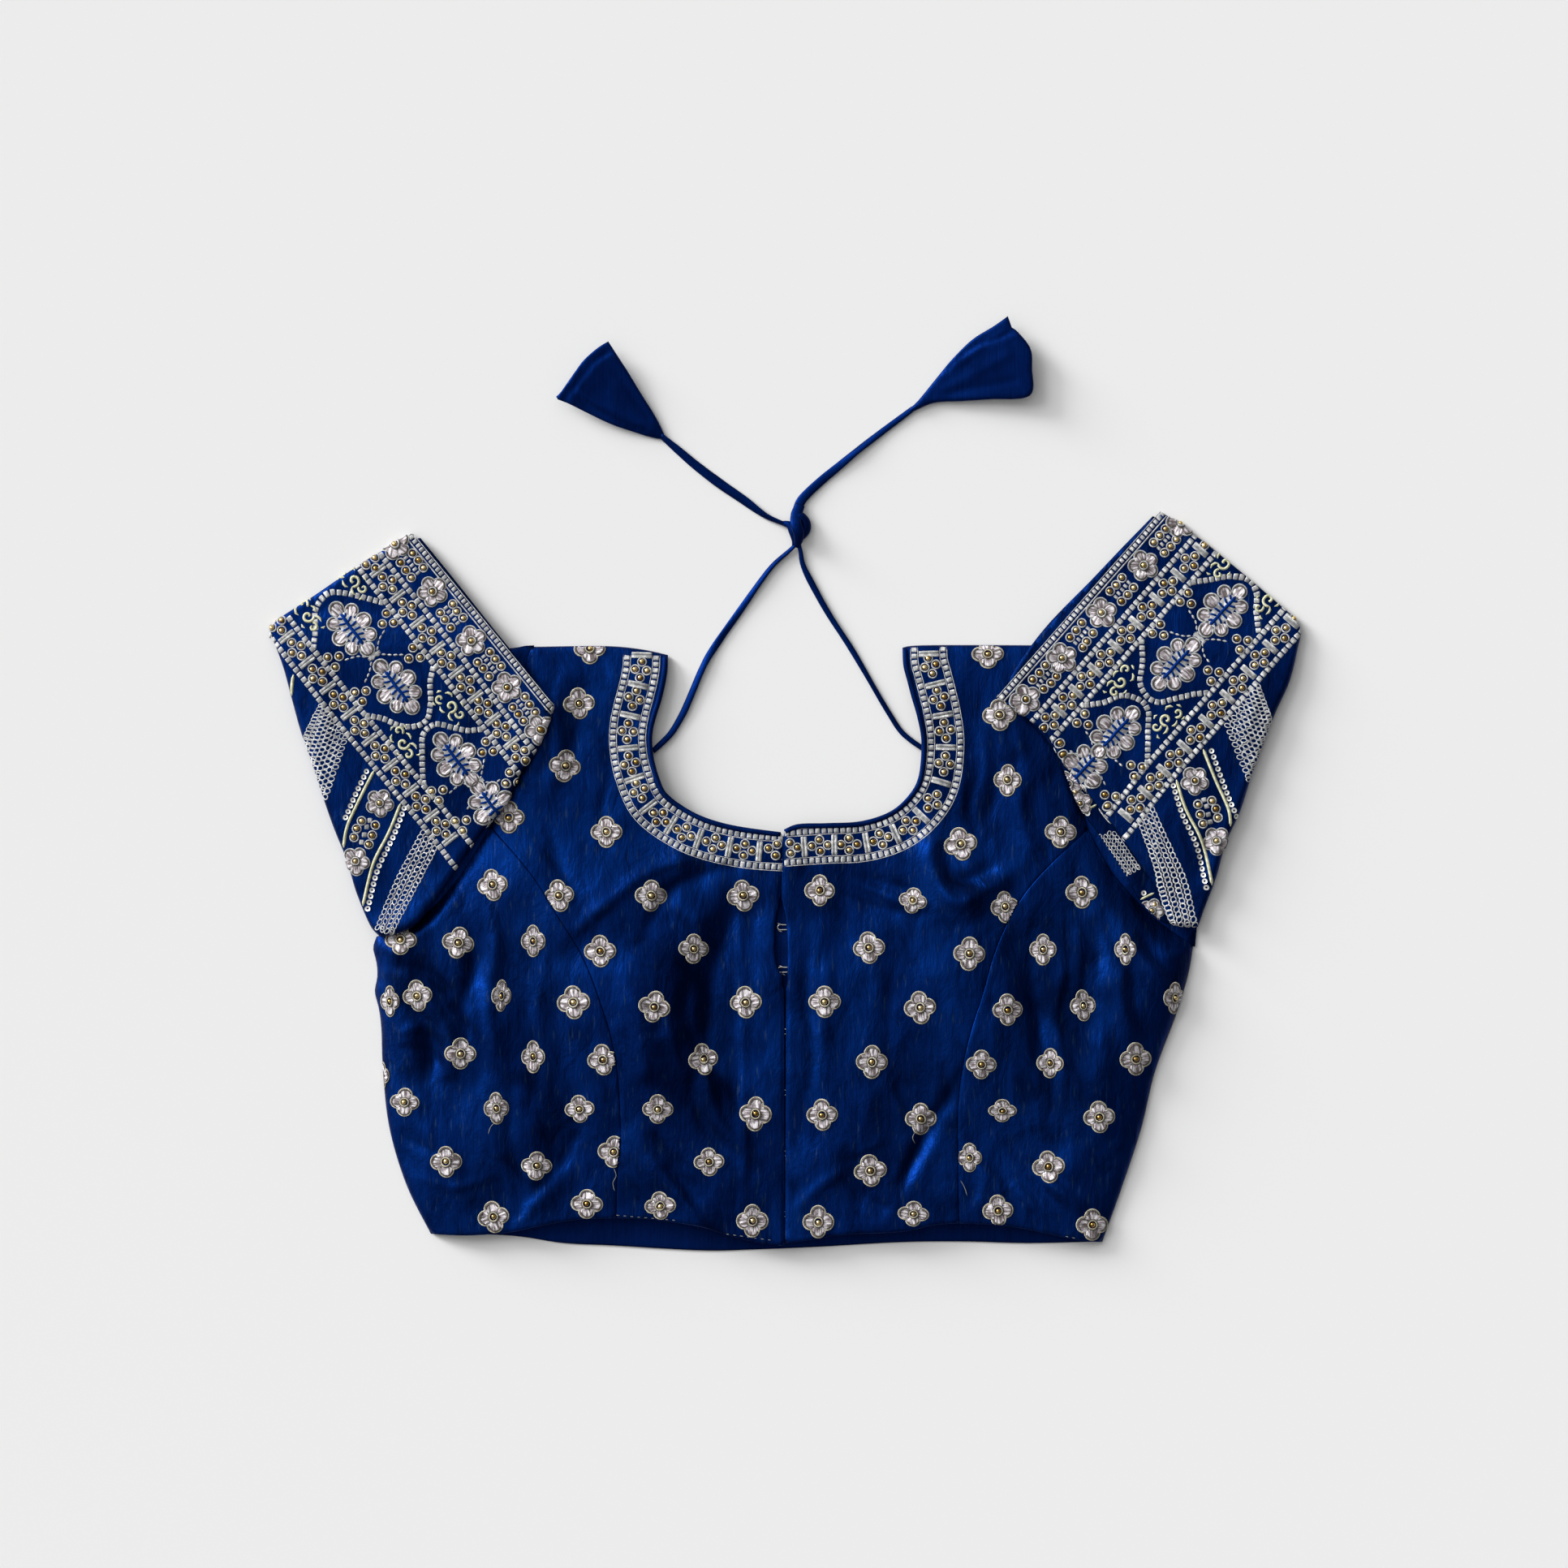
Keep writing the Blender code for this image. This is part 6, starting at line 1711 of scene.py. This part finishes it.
def flag(name, table, node_name, folds, bands):
    """A folded tie end: a double layer with a turned hem band and soft creases."""
    loop = outline(2.2, table, (table[-1], table[0]))
    pts, faces = tess(loop, (0.45, 1.2), 1.8)
    e = nearest(pts, loop, True)[0]
    z = 2.55 + 0.25 * sample(soft_noise(9, 9, 77), np.clip(pts, -300, 220))
    for x0, y0, x1, y1, wide, high in folds:
        d, _, f = nearest(pts, table_mm(((x0, y0), (x1, y1))))
        z = z + high * np.exp(-(d / wide) ** 2)
    for line in bands:
        q = curve(line, 2.0)
        d, seg, f = nearest(pts, q)
        a, b = q[seg], q[np.minimum(seg + 1, len(q) - 1)]
        side = (b[:, 0] - a[:, 0]) * (pts[:, 1] - a[:, 1]) - (b[:, 1] - a[:, 1]) * (pts[:, 0] - a[:, 0])
        z = z + 0.42 * np.tanh(np.sign(side) * d * 1.6) * np.exp(-(d / 9.0) ** 2) - 0.75 * np.exp(-(d / 0.7) ** 2)
    r = 1.5
    turn = np.where(e < r, np.sqrt(np.clip(1 - (1 - e / r) ** 2, 0, 1)), 1.0)
    # the free end curls up off the table and the sewn end lies on it
    sewn = place(819, 541) if pts[:, 0].mean() < 0 else place(1119, 507)
    far = np.linalg.norm(pts - sewn, axis=1)
    curl = 7.0 * np.clip((far - 6.0) / (far.max() - 6.0), 0, 1) ** 1.15
    top = np.column_stack([pts, curl + 1.35 + (z - 1.35) * turn])
    bottom = np.column_stack([pts, curl + 1.35 - 1.15 * turn])
    n, nl = len(pts), len(loop)
    ring = np.array([(i, n + (i + 1) % nl, (i + 1) % nl) for i in range(nl)] + [(i, n + i, n + (i + 1) % nl) for i in range(nl)])
    return part(name, "silk_plain", TIE, np.vstack([top, bottom]), [np.vstack([faces, faces[:, ::-1] + n, ring])],
                (node_name,))


knot_ob = knot()
flag_l = flag("dori_flag_left_cloth", FLAG_LEFT, "dori_flag_left",
              ((725, 455, 805, 530, 3.0, 0.5), (745, 440, 800, 515, 2.0, -0.5), (715, 486, 790, 524, 1.6, 0.5)),
              (((762, 430), (735, 447), (716, 470), (702, 488), (698, 496)), ((708, 480), (727, 499), (769, 523), (796, 532))))
flag_r = flag("dori_flag_right_cloth", FLAG_RIGHT, "dori_flag_right",
              ((1130, 500, 1240, 440, 3.0, 0.5), (1150, 488, 1250, 470, 2.4, -0.45), (1180, 450, 1235, 410, 1.8, 0.4)),
              (((1247, 411), (1225, 421), (1203, 428), (1183, 441), (1158, 462)),))

tie("dori_left_lower_cloth", DORI_LEFT_LOW, ((0, 3.2), (0.2, 4.2), (0.5, 4.2), (0.8, 3.6), (1, 2.8)),
    ((0, 0.1), (0.4, 0.5), (0.55, -0.3), (0.8, 0.6), (1, 0.9)), ("dori_left_lower",),
    lift=((0, 1.4), (0.06, 1.0), (0.14, 0.0), (0.93, 0.0), (1, 0.8)))
tie("dori_right_lower_cloth", DORI_RIGHT_LOW, ((0, 3.0), (0.3, 3.2), (0.6, 3.4), (0.85, 3.8), (1, 2.6)),
    ((0, 0.0), (0.35, -0.6), (0.6, 0.4), (0.85, 0.2), (1, 0.8)), ("dori_right_lower",),
    lift=((0, 1.4), (0.06, 1.0), (0.14, 0.0), (0.93, 0.0), (1, 0.8)))
tie("dori_left_upper_cloth", DORI_LEFT_UP, ((0, 2.8), (0.12, 3.2), (0.3, 5.0), (0.55, 5.6), (0.85, 4.6), (1, 3.4)),
    ((0, 0.9), (0.3, 0.2), (0.6, -0.1), (0.9, 0.3), (1, 0.5)), ("dori_left_upper",),
    lift=((0, 0.9), (0.1, 0.2), (0.3, 0)))
tie("dori_right_upper_cloth", DORI_RIGHT_UP, ((0, 5.8), (0.15, 5.2), (0.35, 4.8), (0.6, 4.2), (0.8, 3.6), (1, 3.4)),
    ((0, 0.1), (0.3, 0.0), (0.55, 0.5), (0.8, 0.1), (1, 0.4)), ("dori_right_upper",),
    lift=((0, 1.2), (0.1, 0.3), (0.3, 0)))

# ------------------------------------------------------------------ build: embroidery
for word, rows in BUTTI.items():
    loop = PANELS[word]
    st = Stitches("butti_%s" % word, on_front, lambda xy, l=loop: inside(xy, l))
    for x, y, turn, wx, wy in rows:
        put_butti(st, place(x, y), math.radians(turn) + RNG.normal(0, 0.04), 0.94, (wx, wy))
    st.build()

neck_left, edge_l, n_l = neck_work("neck_left", NECK_RUN_LEFT, NECK_BARS_LEFT, -1)
for x, y in ((947.2, 1045.3), (957.8, 1040.2), (955.8, 1053.9)):
    put_bead(neck_left, place(x, y), 1.0, spin=RNG.uniform(0, 1))
neck_left.build()
neck_right, edge_r, n_r = neck_work("neck_right", NECK_RUN_RIGHT, NECK_BARS_RIGHT, 1)
for x, y in ((973.6, 1038.6), (982.4, 1044.0), (974.4, 1051.0)):
    put_bead(neck_right, place(x, y), 1.0, spin=RNG.uniform(0, 1))
neck_right.build()

LEFT_FRAME = SleeveFrame((512, 655), (0.6137, 0.7896), (-0.7896, 0.6137))
RIGHT_FRAME = SleeveFrame((1427, 629), (-0.6612, 0.7503), (0.7503, 0.6612))
sleeve_work("sleeve_left_work", LEFT, LEFT_FRAME, LEFT_WORK).build()
sleeve_work("sleeve_right_work", RIGHT, RIGHT_FRAME, RIGHT_WORK).build()


def on_under_right(xy):
    z = sample(RIGHT.under, xy)
    e = nearest(xy, RIGHT.underlayer)[0]
    turn = np.where(e < 2.0, np.sqrt(np.clip(1 - (1 - e / 2.0) ** 2, 0, 1)), 1.0)
    rest = sample(RIGHT.lifted, xy) + 0.35
    return np.column_stack([xy, rest + (z - rest) * turn]), np.tile([0.0, 0.0, 1.0], (len(xy), 1))


peek = Stitches("sleeve_right_peek", on_under_right, lambda xy: inside(xy, RIGHT.underlay))
put_five(peek, place(1316, 966), 0.6, 0.9)
put_five(peek, place(1330, 990), 0.2, 0.8)
put_bead(peek, place(1324, 976), 0.95)
put_chain_area(peek, table_mm(((1352, 1032), (1366, 1053), (1383, 1078))), table_mm(((1374, 1024), (1390, 1046), (1404, 1068))), 2.9, 0.94)
put_cord(peek, "scroll", curve(((1331, 998), (1341, 996), (1351, 991)), 1.5), 0.7)
put_cord(peek, "silver", curve(((1353, 996), (1360, 1006), (1368, 1015)), 1.5), 0.5)
put_cord(peek, "scroll", curve(((1404, 1108), (1412, 1104), (1421, 1100)), 1.5), 0.7)
put_five(peek, place(1418, 1122), 0.9, 0.8)
for x, y in ((1422, 1114),):
    put_bead(peek, place(x, y), 0.95)
for x, y in ((1339, 1002), (1408, 1100)):
    v, q = disc(1.55, 0.6)
    peek.add("sequin", v, q, at=place(x, y))
peek.build()

# loose thread tails and the hem's hand stitches
tails = Stitches("thread_tails", on_front)
for pts in (((757, 1438), (760, 1447), (756, 1456), (758, 1466)), ((613, 1380), (606, 1387), (603, 1396)),
            ((1183, 1453), (1188, 1462), (1191, 1472)),
            ((1128, 1392), (1124, 1400), (1127, 1408))):
    put_cord(tails, "tail", curve(pts, 1.2), 0.2, 0.15)
for a, b in (((760, 1496), (833, 1502)), ((895, 1519), (952, 1527)), ((1312, 1522), (1332, 1526))):
    put_dashes(tails, "tail", np.linspace(place(*a), place(*b), 30), 1.7, 2.3, 0.22)
tails.build()
bars = Stitches("thread_bars", lambda xy: (np.column_stack([xy, sample(FRONT, xy) - 1.6]), np.tile([0, 0, 1.0], (len(xy), 1))))
for x, y in ((960, 1137), (961, 1146), (962, 1189), (965, 1199)):
    put_cord(bars, "tail", np.linspace(place(x - 2, y), place(x + 2.5, y + 1.5), 4), 0.3)
bars.build()

# ------------------------------------------------------------------ floor, light, camera
floor_mesh = bpy.data.meshes.new("floor")
floor_mesh.from_pydata([(-4, -4, 0), (4, -4, 0), (4, 4, 0), (-4, 4, 0)], [], [(0, 1, 2, 3)])
floor_mat, floor_tree, floor_b = shader("floor_paper", (0.775, 0.775, 0.775), 0.9, Specular_IOR_Level=0.1)
floor_noise = node(floor_tree, "ShaderNodeTexNoise", Scale=3.0, Detail=2.0)
floor_tree.links.new(mix(floor_tree, ramp(floor_tree, floor_noise.outputs["Fac"], 0.3, 0.7, 0, 1), (0.771, 0.771, 0.771),
                         (0.779, 0.779, 0.779)), floor_b.inputs["Base Color"])
floor_mesh.materials.append(floor_mat)
floor = bpy.data.objects.new("floor", floor_mesh)
root.objects.link(floor)

world = bpy.data.worlds.new("studio")
bpy.context.scene.world = world
world.use_nodes = True
wt = world.node_tree
# a studio that is brightest towards the upper left of the view
way = wt.nodes.new("ShaderNodeVectorMath")
way.operation = "DOT_PRODUCT"
way.inputs[1].default_value = Vector((-0.55, 0.5, 0.67)).normalized()
wt.links.new(wt.nodes.new("ShaderNodeTexCoord").outputs["Generated"], way.inputs[0])
level = wt.nodes.new("ShaderNodeMapRange")
level.interpolation_type = "SMOOTHSTEP"
for key, value in (("From Min", 0.1), ("From Max", 1.0), ("To Min", 0.12), ("To Max", 0.95)):
    level.inputs[key].default_value = value
wt.links.new(way.outputs["Value"], level.inputs["Value"])
back = wt.nodes["Background"]
back.inputs[0].default_value = (1, 1, 1, 1)
wt.links.new(level.outputs["Result"], back.inputs[1])

for name, energy, spread, towards in (("key", 1.80, 34, (0.72, -0.50, -0.52)), ("low", 3.70, 20, (0.80, -0.56, -0.25))):
    sun_data = bpy.data.lights.new(name, "SUN")
    sun_data.energy = energy
    sun_data.angle = math.radians(spread)
    sun = bpy.data.objects.new(name, sun_data)
    root.objects.link(sun)
    sun.rotation_euler = Vector(towards).to_track_quat("-Z", "Y").to_euler()

camera_data = bpy.data.cameras.new("camera")
camera_data.sensor_width = 36.0
camera_data.lens = 36.0 * 3.0 / (1932 * GRID * MM)
camera = bpy.data.objects.new("camera", camera_data)
root.objects.link(camera)
camera.location = ((966 - CENTRE_X) * GRID * MM, (CENTRE_Y - 966) * GRID * MM, 3.0)
camera.rotation_euler = (0, 0, 0)
bpy.context.scene.camera = camera
bpy.context.scene.view_settings.view_transform = "Standard"
